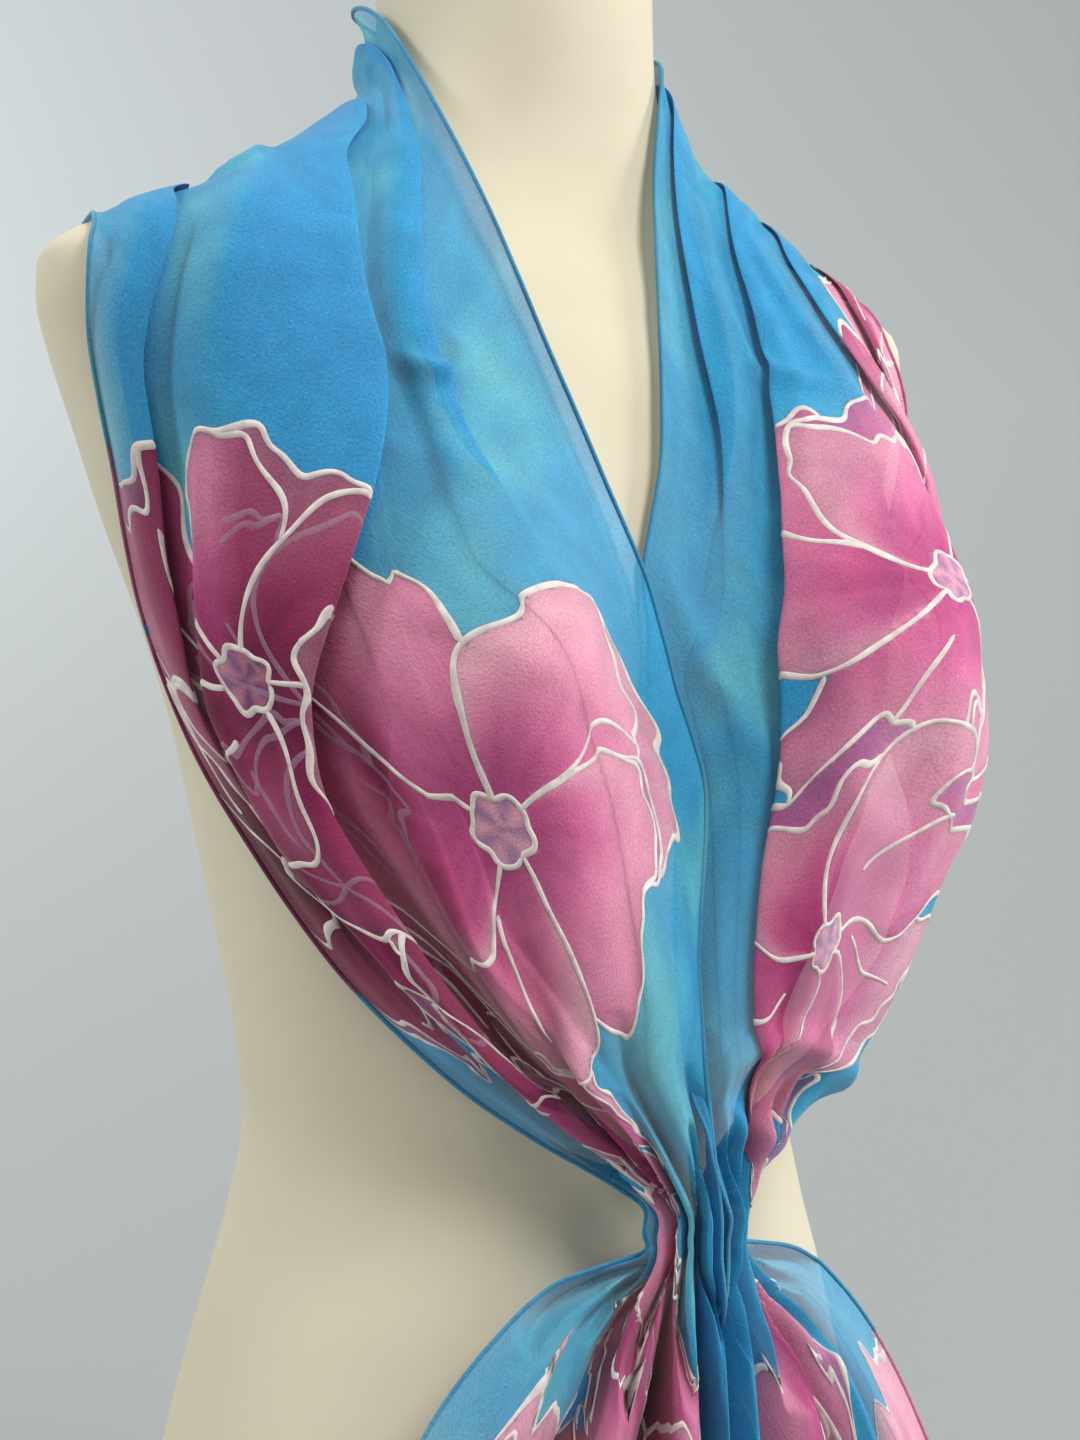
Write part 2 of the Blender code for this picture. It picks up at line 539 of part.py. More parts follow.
def folded_cloth(stations, sheet):
    """The laid cloth with its folds: a grid of points, a row for each station."""
    normals = outward_normals(sheet)
    top = STATION_INDEX["right_gather"]
    low = STATION_INDEX["right_gather_low"]
    far_top = STATION_INDEX["left_gather"]
    far_low = STATION_INDEX["left_gather_low"]
    off_gather = np.minimum(
        np.abs(np.clip(stations, low, top) - stations),
        np.abs(np.clip(stations, far_top, far_low) - stations),
    )
    normals[..., 2] *= np.clip(off_gather, 0, 1)[:, None]
    normals /= np.linalg.norm(normals, axis=-1, keepdims=True)
    above = (stations > top) & (stations < far_top)
    below = (stations < low) | (stations > far_low)
    rows = []
    for i, station in enumerate(stations):
        steps = np.linalg.norm(np.diff(sheet[i], axis=0), axis=-1)
        reach = np.concatenate([[0.0], np.cumsum(steps)])
        width = reach[-1]
        share = reach / width
        puff = float(column(PUFFS, 1, station))
        centre = float(column(PUFFS, 2, station))
        hump = np.where(
            share < centre,
            np.sin(0.5 * math.pi * share / centre),
            np.cos(0.5 * math.pi * np.clip((share - centre) / (1 - centre), 0, 1)),
        )
        hump = np.clip(hump, 0, 1)
        base = sheet[i] + normals[i] * (puff * hump**1.5)[:, None]
        places, heights = fold_section(station, width)
        on_sheet = np.stack([np.interp(places, reach, base[:, k]) for k in range(3)], -1)
        outward = np.stack([np.interp(places, reach, normals[i][:, k]) for k in range(3)], -1)
        outward /= np.linalg.norm(outward, axis=-1, keepdims=True)
        row = on_sheet + outward * heights[:, None]
        if above[i]:
            row[:, 2] = np.maximum(row[:, 2], GATHER_TOP + GATHER_MARGIN)
        if below[i]:
            row[:, 2] = np.minimum(row[:, 2], GATHER_BOTTOM - GATHER_MARGIN)
        rows.append(row)
    return np.array(rows)


# ---------------------------------------------------------------- objects
def material(name, colour, roughness):
    made = bpy.data.materials.new(name)
    made.use_nodes = True
    shader = made.node_tree.nodes["Principled BSDF"]
    shader.inputs["Base Color"].default_value = colour
    shader.inputs["Roughness"].default_value = roughness
    shader.inputs["Metallic"].default_value = 0.0
    return made


def add_object(name, points, faces, colour, roughness, collection):
    mesh = bpy.data.meshes.new(name)
    mesh.from_pydata([tuple(point) for point in points], [], faces)
    mesh.validate()
    mesh.update()
    mesh.materials.append(material(name, colour, roughness))
    made = bpy.data.objects.new(name, mesh)
    collection.objects.link(made)
    return made


def add_cloth(name, grid, colour, collection):
    """An open surface through the grid, made a wall of the cloth's thickness."""
    rows, columns = grid.shape[:2]
    faces = []
    for i in range(rows - 1):
        for j in range(columns - 1):
            a = i * columns + j
            b = a + columns
            one_way = np.linalg.norm(grid[i, j] - grid[i + 1, j + 1])
            other_way = np.linalg.norm(grid[i + 1, j] - grid[i, j + 1])
            if one_way < other_way:
                faces += [(a, b, b + 1), (a, b + 1, a + 1)]
            else:
                faces += [(a, b, a + 1), (b, b + 1, a + 1)]
    made = add_object(name, grid.reshape(-1, 3), faces, colour, 0.75, collection)
    wall = made.modifiers.new("wall", "SOLIDIFY")
    wall.thickness = CLOTH_WALL
    wall.offset = 0.0
    wall.use_even_offset = False
    return made


def add_gather(cloth, stations, collection):
    """The drawn-in neck between panels and tails: every layer of it as one fluted solid."""
    half = 0.5 * CLOTH_WALL
    centre = np.array(GATHER_CENTRE)
    rings = []
    for share in (0.0, 0.25, 0.5, 0.75, 1.0):
        outline = []
        for low, high in (("right_gather_low", "right_gather"), ("left_gather_low", "left_gather")):
            bottom = cloth[int(np.argmin(np.abs(stations - STATION_INDEX[low])))]
            top = cloth[int(np.argmin(np.abs(stations - STATION_INDEX[high])))]
            row = bottom * (1 - share) + top * share
            outline.append(row[:, :2])
        turned = GATHER_START + GATHER_SWEEP
        back_angle = np.radians(np.linspace(turned, 360 - turned, 8))
        back = np.stack([
            GATHER_CENTRE[0] + GATHER_HALF_WIDTH * np.sin(back_angle),
            GATHER_CENTRE[1] - GATHER_HALF_DEPTH * np.cos(back_angle),
        ], -1)[1:-1]
        plan = np.vstack([outline[0][::-1], outline[1], back])
        ahead = np.roll(plan, -1, axis=0) - np.roll(plan, 1, axis=0)
        outward = np.stack([ahead[:, 1], -ahead[:, 0]], -1)
        outward /= np.maximum(np.linalg.norm(outward, axis=-1, keepdims=True), 1e-9)
        plan = plan + outward * half
        waist = 0.05 * math.sin(math.pi * share)
        plan = centre + (plan - centre) * (1 - waist)
        level = GATHER_BOTTOM + (GATHER_TOP - GATHER_BOTTOM) * share
        if share == 0.0:
            level += GATHER_RELIEF
        if share == 1.0:
            level -= GATHER_RELIEF
        rings.append(np.column_stack([plan, np.full(len(plan), level)]))
    sides = len(rings[0])
    faces = ring_faces(len(rings), sides)
    faces.append(tuple(range(sides))[::-1])
    faces.append(tuple(range((len(rings) - 1) * sides, len(rings) * sides)))
    return add_object("scarf_gather", np.vstack(rings), faces, GATHER_COLOUR, 0.75, collection)


def add_form(collection):
    heights = form_levels()
    rings = form_rings(heights, FORM_SIDES)
    sides = FORM_SIDES
    faces = ring_faces(len(heights), sides)
    faces.append(tuple(range(sides))[::-1])
    faces.append(tuple(range((len(heights) - 1) * sides, len(heights) * sides)))
    return add_object("dress_form", rings.reshape(-1, 3), faces, FORM_COLOUR, 0.85, collection)


def main():
    for old in list(bpy.data.objects):
        bpy.data.objects.remove(old, do_unlink=True)
    collection = bpy.data.collections.new("chiffon_scarf_on_dress_form")
    bpy.context.scene.collection.children.link(collection)

    add_form(collection)
    stations = np.linspace(0, len(STATIONS) - 1, (len(STATIONS) - 1) * ROWS_PER_STATION + 1)
    cloth = folded_cloth(stations, laid_cloth(stations, form_surfaces()))
    kept = (stations >= STATION_INDEX["right_tail_top"]) & (stations <= STATION_INDEX["left_tail_top"])
    kept |= stations == np.round(stations)
    stations = stations[kept]
    cloth = cloth[kept]
    add_gather(cloth, stations, collection)
    for name, first, last, colour in PIECES:
        start = int(np.searchsorted(stations, STATION_INDEX[first]))
        end = int(np.searchsorted(stations, STATION_INDEX[last]))
        grid = cloth[start : end + 1].copy()
        opening = grid[1] - grid[0]
        closing = grid[-2] - grid[-1]
        opening /= np.linalg.norm(opening, axis=-1, keepdims=True)
        closing /= np.linalg.norm(closing, axis=-1, keepdims=True)
        grid[0] += opening * (SHOULDER_RELIEF if "shoulder" in first else 0.5 * SEAM_GAP)
        grid[-1] += closing * (SHOULDER_RELIEF if "shoulder" in last else 0.5 * SEAM_GAP)
        add_cloth(name, grid, colour, collection)


main()
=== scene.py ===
import math

import bmesh
import bpy
import numpy as np
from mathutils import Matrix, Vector
from mathutils.bvhtree import BVHTree


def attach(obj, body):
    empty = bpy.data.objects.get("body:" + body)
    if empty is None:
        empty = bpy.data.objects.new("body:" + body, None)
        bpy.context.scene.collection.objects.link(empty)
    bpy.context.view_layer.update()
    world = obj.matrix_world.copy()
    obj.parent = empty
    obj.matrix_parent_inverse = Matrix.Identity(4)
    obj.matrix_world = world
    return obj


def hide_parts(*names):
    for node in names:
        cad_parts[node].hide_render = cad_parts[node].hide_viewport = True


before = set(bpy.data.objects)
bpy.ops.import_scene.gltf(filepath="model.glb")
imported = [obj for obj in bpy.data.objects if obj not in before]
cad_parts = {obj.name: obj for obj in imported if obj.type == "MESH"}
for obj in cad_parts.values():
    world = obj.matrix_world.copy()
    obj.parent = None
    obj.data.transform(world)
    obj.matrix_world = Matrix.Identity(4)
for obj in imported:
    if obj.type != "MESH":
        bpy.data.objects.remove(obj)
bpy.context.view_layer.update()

# A painted chiffon scarf worn round the neck of a cream dress form and gathered in front of its
# waist. Metres, +Z up, -Y the way the form faces, +X its left. The scarf is one long sheet, laid out
# in stations from the end of its right tail, round the neck, to the end of its left tail. Across it,
# shares run from the inner hem, at the neck, to the outer one.

# ---------------------------------------------------------------- dress form
FORM_HEIGHT = 0.900
FORM_RINGS = 34
FORM_SIDES = 36
FORM_SQUARENESS = 0.92
BUST_HEIGHT = 0.572
BUST_SPREAD = 0.088
BUST_FULLNESS = 0.058
BUST_WIDTH = 0.055
BUST_BELOW = 0.056
BUST_ABOVE = 0.080
BUST_SIDE_FADE = 2.2

# height, half width, front depth, back depth
FORM_ROWS = (
    (0.000, 0.1500, 0.0980, 0.1000),
    (0.010, 0.1530, 0.1010, 0.1030),
    (0.060, 0.1580, 0.1040, 0.1080),
    (0.150, 0.1630, 0.1080, 0.1160),
    (0.210, 0.1630, 0.1100, 0.1180),
    (0.270, 0.1525, 0.1090, 0.1120),
    (0.330, 0.1365, 0.1050, 0.1000),
    (0.370, 0.1250, 0.0990, 0.0900),
    (0.405, 0.1195, 0.0930, 0.0830),
    (0.440, 0.1230, 0.0910, 0.0840),
    (0.480, 0.1310, 0.0920, 0.0900),
    (0.520, 0.1395, 0.0930, 0.0960),
    (0.560, 0.1485, 0.0930, 0.1010),
    (0.600, 0.1620, 0.0920, 0.1040),
    (0.640, 0.1785, 0.0880, 0.1050),
    (0.680, 0.1935, 0.0820, 0.1030),
    (0.705, 0.2030, 0.0770, 0.0990),
    (0.723, 0.2080, 0.0710, 0.0930),
    (0.735, 0.2080, 0.0670, 0.0880),
    (0.744, 0.2010, 0.0630, 0.0820),
    (0.750, 0.1840, 0.0600, 0.0770),
    (0.760, 0.1550, 0.0560, 0.0710),
    (0.772, 0.1200, 0.0530, 0.0660),
    (0.787, 0.0900, 0.0510, 0.0620),
    (0.804, 0.0695, 0.0510, 0.0600),
    (0.826, 0.0600, 0.0520, 0.0600),
    (0.850, 0.0570, 0.0530, 0.0600),
    (0.880, 0.0565, 0.0530, 0.0600),
    (0.893, 0.0550, 0.0515, 0.0585),
    (0.899, 0.0500, 0.0465, 0.0535),
    (0.900, 0.0440, 0.0405, 0.0475),
)

# ---------------------------------------------------------------- scarf
GATHER_MARGIN = 0.0030
CLEARANCE = 0.0030
ROWS_PER_STATION = 2
CARRIER_COLUMNS = 25
STARTING_BULGE = 0.050
SETTLING_PASSES = 60
# While it settles, the cloth is pushed off the form at every third pass and at each of the last
PUSH_EVERY = 3
LAST_PUSHES = 3
LENGTHWISE_TENSION = 0.62
NORMAL_PASSES = 3
SMALLEST = 1e-12

GATHER_CENTRE = (-0.008, -0.1275)
GATHER_HALF_WIDTH = 0.019
GATHER_HALF_DEPTH = 0.018
GATHER_TOP = 0.384
GATHER_BOTTOM = 0.368
GATHER_START = 5.0
GATHER_SWEEP = 110.0

# station: inner hem x, y, z, then outer hem x, y, z
STATIONS = (
    ("right_tail_end", -0.0050, -0.1500, 0.0620, -0.1620, -0.1240, 0.2080),
    ("right_tail_low", -0.0050, -0.1505, 0.1500, -0.1530, -0.1200, 0.2470),
    ("right_tail_mid", -0.0055, -0.1505, 0.2300, -0.1370, -0.1160, 0.2850),
    ("right_tail_high", -0.0065, -0.1495, 0.3000, -0.1080, -0.1140, 0.3260),
    ("right_tail_top", -0.0080, -0.1470, 0.3460, -0.0640, -0.1140, 0.3590),
    ("right_gather_low", -0.0097, -0.1454, 0.3680, -0.0252, -0.1199, 0.3680),
    ("right_gather", -0.0097, -0.1454, 0.3840, -0.0252, -0.1199, 0.3840),
    ("right_draw", -0.0115, -0.1405, 0.4180, -0.0450, -0.1100, 0.3990),
    ("right_rib_low", -0.0125, -0.1290, 0.4700, -0.0820, -0.0880, 0.4270),
    ("right_rib", -0.0045, -0.1220, 0.5070, -0.1190, -0.0610, 0.4700),
    ("right_under_bust", 0.0010, -0.1160, 0.5400, -0.1450, -0.0340, 0.5200),
    ("right_bust", -0.0080, -0.1110, 0.5750, -0.1570, -0.0080, 0.5600),
    ("right_bust_top", -0.0145, -0.1060, 0.6150, -0.1720, 0.0000, 0.6080),
    ("right_chest_low", -0.0290, -0.0980, 0.6580, -0.1890, -0.0150, 0.6560),
    ("right_chest", -0.0440, -0.0840, 0.7060, -0.2020, -0.0240, 0.7000),
    ("right_collar_bone", -0.0560, -0.0640, 0.7580, -0.2040, -0.0290, 0.7320),
    ("right_neck_front", -0.0640, -0.0380, 0.8030, -0.1985, -0.0200, 0.7420),
    ("right_shoulder", -0.0640, -0.0020, 0.8430, -0.1890, 0.0040, 0.7525),
    ("right_shoulder_back", -0.0620, 0.0240, 0.8580, -0.1780, 0.0420, 0.7460),
    ("right_nape_side", -0.0500, 0.0500, 0.8630, -0.1450, 0.0800, 0.7300),
    ("right_nape", -0.0280, 0.0660, 0.8630, -0.0900, 0.1080, 0.7020),
    ("nape", 0.0000, 0.0710, 0.8600, 0.0000, 0.1180, 0.6900),
    ("left_nape", 0.0280, 0.0660, 0.8580, 0.0900, 0.1080, 0.7020),
    ("left_nape_side", 0.0500, 0.0490, 0.8560, 0.1450, 0.0800, 0.7300),
    ("left_shoulder_back", 0.0610, 0.0220, 0.8540, 0.1660, 0.0400, 0.7540),
    ("left_shoulder", 0.0600, -0.0120, 0.8480, 0.1700, 0.0000, 0.7620),
    ("left_neck_front", 0.0450, -0.0400, 0.8300, 0.1640, -0.0360, 0.7480),
    ("left_collar_bone", 0.0280, -0.0580, 0.7820, 0.1680, -0.0480, 0.7300),
    ("left_chest", 0.0140, -0.0790, 0.7220, 0.1810, -0.0460, 0.7000),
    ("left_chest_low", 0.0040, -0.0930, 0.6650, 0.1840, -0.0320, 0.6550),
    ("left_bust_top", -0.0120, -0.1020, 0.6200, 0.1720, -0.0300, 0.6050),
    ("left_bust", -0.0140, -0.1070, 0.5750, 0.1600, -0.0520, 0.5620),
    ("left_under_bust", -0.0040, -0.1100, 0.5400, 0.1480, -0.0840, 0.5220),
    ("left_rib", -0.0080, -0.1170, 0.5070, 0.1300, -0.1040, 0.4870),
    ("left_rib_low", -0.0130, -0.1240, 0.4700, 0.1060, -0.1080, 0.4550),
    ("left_draw", -0.0150, -0.1370, 0.4180, 0.0560, -0.1120, 0.4080),
    ("left_gather", -0.0063, -0.1454, 0.3840, 0.0092, -0.1199, 0.3840),
    ("left_gather_low", -0.0063, -0.1454, 0.3680, 0.0092, -0.1199, 0.3680),
    ("left_tail_top", -0.0068, -0.1450, 0.3480, 0.0580, -0.1140, 0.3560),
    ("left_tail_high", -0.0070, -0.1450, 0.3050, 0.0960, -0.1150, 0.3180),
    ("left_tail_mid", -0.0080, -0.1450, 0.2300, 0.1230, -0.1170, 0.2700),
    ("left_tail_low", -0.0080, -0.1450, 0.1500, 0.1380, -0.1200, 0.2320),
    ("left_tail_end", -0.0080, -0.1445, 0.0620, 0.1460, -0.1230, 0.1950),
)
STATION_INDEX = {row[0]: index for index, row in enumerate(STATIONS)}

# Where the cloth stands off the form: station, height of the puff, its place across (0 inner, 1 outer)
PUFFS = (
    ("right_tail_end", 0.006, 0.50),
    ("right_tail_high", 0.004, 0.50),
    ("right_gather", 0.000, 0.50),
    ("right_rib", 0.004, 0.70),
    ("right_bust", 0.001, 0.70),
    ("right_chest", 0.002, 0.50),
    ("right_shoulder", 0.003, 0.35),
    ("nape", 0.002, 0.50),
    ("left_shoulder", 0.003, 0.35),
    ("left_chest", 0.010, 0.65),
    ("left_chest_low", 0.017, 0.65),
    ("left_bust_top", 0.019, 0.62),
    ("left_bust", 0.022, 0.62),
    ("left_under_bust", 0.026, 0.64),
    ("left_rib", 0.019, 0.66),
    ("left_rib_low", 0.016, 0.66),
    ("left_draw", 0.004, 0.60),
    ("left_gather", 0.000, 0.50),
    ("left_gather_low", 0.000, 0.60),
    ("left_tail_top", 0.012, 0.60),
    ("left_tail_mid", 0.016, 0.60),
    ("left_tail_end", 0.008, 0.50),
)

# The right panel lies over the left one below the crossing: station, lift of its inner hem
HEM_LIFTS = (
    ("right_gather", 0.0000),
    ("right_draw", 0.0015),
    ("right_rib_low", 0.0032),
    ("right_bust", 0.0034),
    ("right_bust_top", 0.0018),
    ("right_chest_low", 0.0000),
    ("left_tail_end", 0.0000),
)
HEM_LIFT_WIDTH = 0.014

# The four folds that run the length of the cloth, counted from the inner hem: station, crest (share
# of the width), overlap, height, outer edge (share). The third has a sixth column, the tuck under
# its outer edge.
FIRST_FOLD = (
    ("right_tail_end", 0.090, -0.006, 0.0120, 0.150),
    ("right_tail_high", 0.100, -0.004, 0.0100, 0.170),
    ("right_gather_low", 0.150, -0.003, 0.0028, 0.210),
    ("right_gather", 0.150, -0.003, 0.0028, 0.210),
    ("right_draw", 0.200, -0.004, 0.0030, 0.270),
    ("right_rib_low", 0.140, -0.008, 0.0020, 0.260),
    ("right_bust", 0.180, -0.012, 0.0010, 0.300),
    ("right_bust_top", 0.270, -0.006, 0.0020, 0.380),
    ("right_chest_low", 0.310, 0.004, 0.0045, 0.370),
    ("right_chest", 0.277, 0.008, 0.0050, 0.335),
    ("right_collar_bone", 0.225, 0.010, 0.0055, 0.300),
    ("right_neck_front", 0.140, 0.010, 0.0055, 0.215),
    ("right_shoulder", 0.080, 0.008, 0.0052, 0.150),
    ("nape", 0.100, 0.012, 0.0060, 0.190),
    ("left_shoulder", 0.060, 0.010, 0.0060, 0.150),
    ("left_collar_bone", 0.075, 0.014, 0.0060, 0.175),
    ("left_chest", 0.095, 0.016, 0.0060, 0.200),
    ("left_chest_low", 0.130, 0.008, 0.0050, 0.190),
    ("left_bust_top", 0.150, -0.004, 0.0030, 0.210),
    ("left_bust", 0.120, -0.010, 0.0020, 0.190),
    ("left_draw", 0.160, -0.004, 0.0030, 0.220),
    ("left_gather", 0.150, -0.003, 0.0028, 0.210),
    ("left_gather_low", 0.150, -0.003, 0.0028, 0.210),
    ("left_tail_high", 0.110, -0.004, 0.0100, 0.190),
    ("left_tail_end", 0.110, -0.007, 0.0130, 0.190),
)
SECOND_FOLD = (
    ("right_tail_end", 0.290, -0.006, 0.0130, 0.360),
    ("right_tail_high", 0.310, -0.004, 0.0110, 0.390),
    ("right_gather_low", 0.370, -0.003, 0.0028, 0.430),
    ("right_gather", 0.370, -0.003, 0.0028, 0.430),
    ("right_draw", 0.430, -0.003, 0.0045, 0.480),
    ("right_rib_low", 0.540, -0.004, 0.0080, 0.590),
    ("right_rib", 0.600, -0.006, 0.0060, 0.640),
    ("right_under_bust", 0.600, -0.010, 0.0020, 0.660),
    ("right_bust", 0.520, -0.008, 0.0010, 0.580),
    ("right_bust_top", 0.520, -0.004, 0.0006, 0.580),
    ("right_chest_low", 0.500, -0.004, 0.0006, 0.560),
    ("right_chest", 0.460, -0.004, 0.0006, 0.520),
    ("right_collar_bone", 0.420, -0.004, 0.0006, 0.480),
    ("right_neck_front", 0.340, -0.004, 0.0006, 0.400),
    ("right_shoulder", 0.250, -0.004, 0.0006, 0.310),
    ("right_nape_side", 0.300, 0.006, 0.0040, 0.370),
    ("nape", 0.320, 0.014, 0.0060, 0.420),
    ("left_shoulder_back", 0.400, 0.014, 0.0060, 0.500),
    ("left_shoulder", 0.380, 0.014, 0.0055, 0.490),
    ("left_neck_front", 0.340, 0.016, 0.0052, 0.450),
    ("left_collar_bone", 0.290, 0.022, 0.0058, 0.430),
    ("left_chest", 0.255, 0.034, 0.0075, 0.450),
    ("left_chest_low", 0.235, 0.042, 0.0085, 0.500),
    ("left_bust_top", 0.248, 0.044, 0.0090, 0.520),
    ("left_bust", 0.231, 0.042, 0.0090, 0.500),
    ("left_under_bust", 0.200, 0.036, 0.0085, 0.480),
    ("left_rib", 0.180, 0.030, 0.0080, 0.440),
    ("left_rib_low", 0.190, 0.018, 0.0080, 0.400),
    ("left_draw", 0.240, 0.008, 0.0060, 0.380),
    ("left_gather", 0.370, -0.003, 0.0028, 0.430),
    ("left_gather_low", 0.370, -0.003, 0.0028, 0.430),
    ("left_tail_high", 0.330, -0.004, 0.0110, 0.420),
    ("left_tail_end", 0.330, -0.007, 0.0130, 0.410),
)
THIRD_FOLD = (
    ("right_tail_end", 0.500, -0.007, 0.0110, 0.570, -0.006),
    ("right_tail_high", 0.520, -0.004, 0.0100, 0.600, -0.004),
    ("right_gather_low", 0.590, -0.003, 0.0028, 0.650, -0.003),
    ("right_gather", 0.590, -0.003, 0.0028, 0.650, -0.003),
    ("right_draw", 0.610, 0.004, 0.0065, 0.740, 0.001),
    ("right_rib_low", 0.700, 0.008, 0.0120, 0.830, 0.003),
    ("right_rib", 0.715, 0.012, 0.0130, 0.850, 0.004),
    ("right_under_bust", 0.730, 0.016, 0.0120, 0.880, 0.004),
    ("right_bust", 0.680, 0.030, 0.0100, 0.880, 0.003),
    ("right_bust_top", 0.560, 0.046, 0.0090, 0.830, 0.000),
    ("right_chest_low", 0.465, 0.056, 0.0080, 0.810, -0.004),
    ("right_chest", 0.395, 0.056, 0.0080, 0.770, -0.006),
    ("right_collar_bone", 0.385, 0.048, 0.0085, 0.730, -0.006),
    ("right_neck_front", 0.345, 0.040, 0.0085, 0.640, -0.008),
    ("right_shoulder", 0.245, 0.034, 0.0090, 0.510, -0.008),
    ("right_nape_side", 0.420, 0.024, 0.0080, 0.610, -0.006),
    ("nape", 0.540, 0.016, 0.0060, 0.660, -0.006),
    ("left_shoulder_back", 0.620, 0.010, 0.0060, 0.710, -0.006),
    ("left_shoulder", 0.600, 0.010, 0.0050, 0.690, -0.006),
    ("left_neck_front", 0.550, 0.012, 0.0050, 0.650, -0.006),
    ("left_collar_bone", 0.530, 0.012, 0.0050, 0.640, -0.006),
    ("left_chest", 0.560, 0.008, 0.0060, 0.660, -0.008),
    ("left_chest_low", 0.640, 0.000, 0.0040, 0.720, -0.010),
    ("left_bust_top", 0.660, -0.008, 0.0030, 0.730, -0.010),
    ("left_bust", 0.650, -0.008, 0.0030, 0.720, -0.010),
    ("left_rib", 0.620, -0.008, 0.0040, 0.710, -0.008),
    ("left_draw", 0.560, -0.003, 0.0060, 0.660, -0.003),
    ("left_gather", 0.590, -0.003, 0.0028, 0.650, -0.003),
    ("left_gather_low", 0.590, -0.003, 0.0028, 0.650, -0.003),
    ("left_tail_high", 0.560, -0.006, 0.0090, 0.650, -0.006),
    ("left_tail_end", 0.550, -0.009, 0.0110, 0.640, -0.008),
)
FOURTH_FOLD = (
    ("right_tail_end", 0.740, -0.016, 0.0050, 0.840),
    ("right_tail_high", 0.750, -0.008, 0.0050, 0.840),
    ("right_gather_low", 0.800, -0.003, 0.0020, 0.860),
    ("right_gather", 0.800, -0.003, 0.0020, 0.860),
    ("right_draw", 0.860, -0.002, 0.0018, 0.910),
    ("right_rib", 0.920, -0.003, 0.0030, 0.960),
    ("right_bust", 0.925, 0.003, 0.0036, 0.960),
    ("right_bust_top", 0.885, 0.010, 0.0040, 0.945),
    ("right_chest_low", 0.880, 0.012, 0.0045, 0.950),
    ("right_chest", 0.860, 0.013, 0.0045, 0.945),
    ("right_collar_bone", 0.815, 0.014, 0.0050, 0.920),
    ("right_neck_front", 0.770, 0.014, 0.0050, 0.880),
    ("right_shoulder", 0.720, 0.014, 0.0050, 0.830),
    ("nape", 0.760, 0.014, 0.0060, 0.860),
    ("left_shoulder_back", 0.820, 0.010, 0.0055, 0.910),
    ("left_shoulder", 0.800, 0.010, 0.0045, 0.890),
    ("left_collar_bone", 0.770, 0.010, 0.0045, 0.860),
    ("left_chest", 0.800, 0.006, 0.0050, 0.880),
    ("left_chest_low", 0.860, -0.004, 0.0030, 0.920),
    ("left_bust", 0.885, -0.008, 0.0030, 0.940),
    ("left_rib", 0.870, -0.006, 0.0030, 0.930),
    ("left_draw", 0.800, -0.003, 0.0025, 0.860),
    ("left_gather", 0.800, -0.003, 0.0020, 0.860),
    ("left_gather_low", 0.800, -0.003, 0.0020, 0.860),
    ("left_tail_high", 0.790, -0.008, 0.0060, 0.880),
    ("left_tail_end", 0.780, -0.014, 0.0080, 0.880),
)
FOLDS = (FIRST_FOLD, SECOND_FOLD, THIRD_FOLD, FOURTH_FOLD)
TUCKED_FOLD = 2
LEAST_SPACE = 0.0020
LEAST_TURN = 0.0010
LEAST_FALL = 0.0020
FALL_PER_HEIGHT = 1.2
# Height of a fold, as a share of its full height, where it turns under, where it turns back and at
# its outer edge
LOW_TURN = 0.30
HIGH_TURN = 0.70
OUTER_EDGE = 0.92
# Points between the turns of each fold, along its low, middle and top run
LOW_RUN_POINTS = (2, 2, 2, 1)
MIDDLE_RUN_POINTS = (0, 2, 2, 0)
TOP_RUN_POINTS = (0, 2, 2, 0)
LAST_RUN_POINTS = 0


def smooth_value(places, values, wanted):
    """Values on a curve through the rows that never overshoots them."""
    places = np.asarray(places, float)
    values = np.asarray(values, float)
    wanted = np.asarray(wanted, float)
    step = np.diff(places)
    slope = np.diff(values) / step
    tangent = np.zeros_like(values)
    for k in range(1, len(places) - 1):
        if slope[k - 1] * slope[k] > 0:
            before = 2 * step[k] + step[k - 1]
            after = step[k] + 2 * step[k - 1]
            tangent[k] = (before + after) / (before / slope[k - 1] + after / slope[k])
    k = np.clip(np.searchsorted(places, wanted, side="right") - 1, 0, len(places) - 2)
    t = np.clip((wanted - places[k]) / step[k], 0.0, 1.0)
    square = t * t
    cube = square * t
    return (
        (2 * cube - 3 * square + 1) * values[k]
        + (cube - 2 * square + t) * step[k] * tangent[k]
        + (3 * square - 2 * cube) * values[k + 1]
        + (cube - square) * step[k] * tangent[k + 1]
    )


def smooth_path(points, wanted):
    """Points on a spline through rows numbered 0, 1, 2 and so on."""
    points = np.asarray(points, float)
    ends = np.vstack([2 * points[0] - points[1], points, 2 * points[-1] - points[-2]])
    k = np.clip(np.floor(wanted).astype(int), 0, len(points) - 2)
    t = (wanted - k)[:, None]
    a, b, c, d = ends[k], ends[k + 1], ends[k + 2], ends[k + 3]
    return 0.5 * (
        2 * b + (c - a) * t + (2 * a - 5 * b + 4 * c - d) * t**2 + (3 * b - a - 3 * c + d) * t**3
    )


def column(rows, index, stations):
    """One column of a table whose rows start with a station's name."""
    places = [STATION_INDEX[row[0]] for row in rows]
    return smooth_value(places, [row[index] for row in rows], stations)


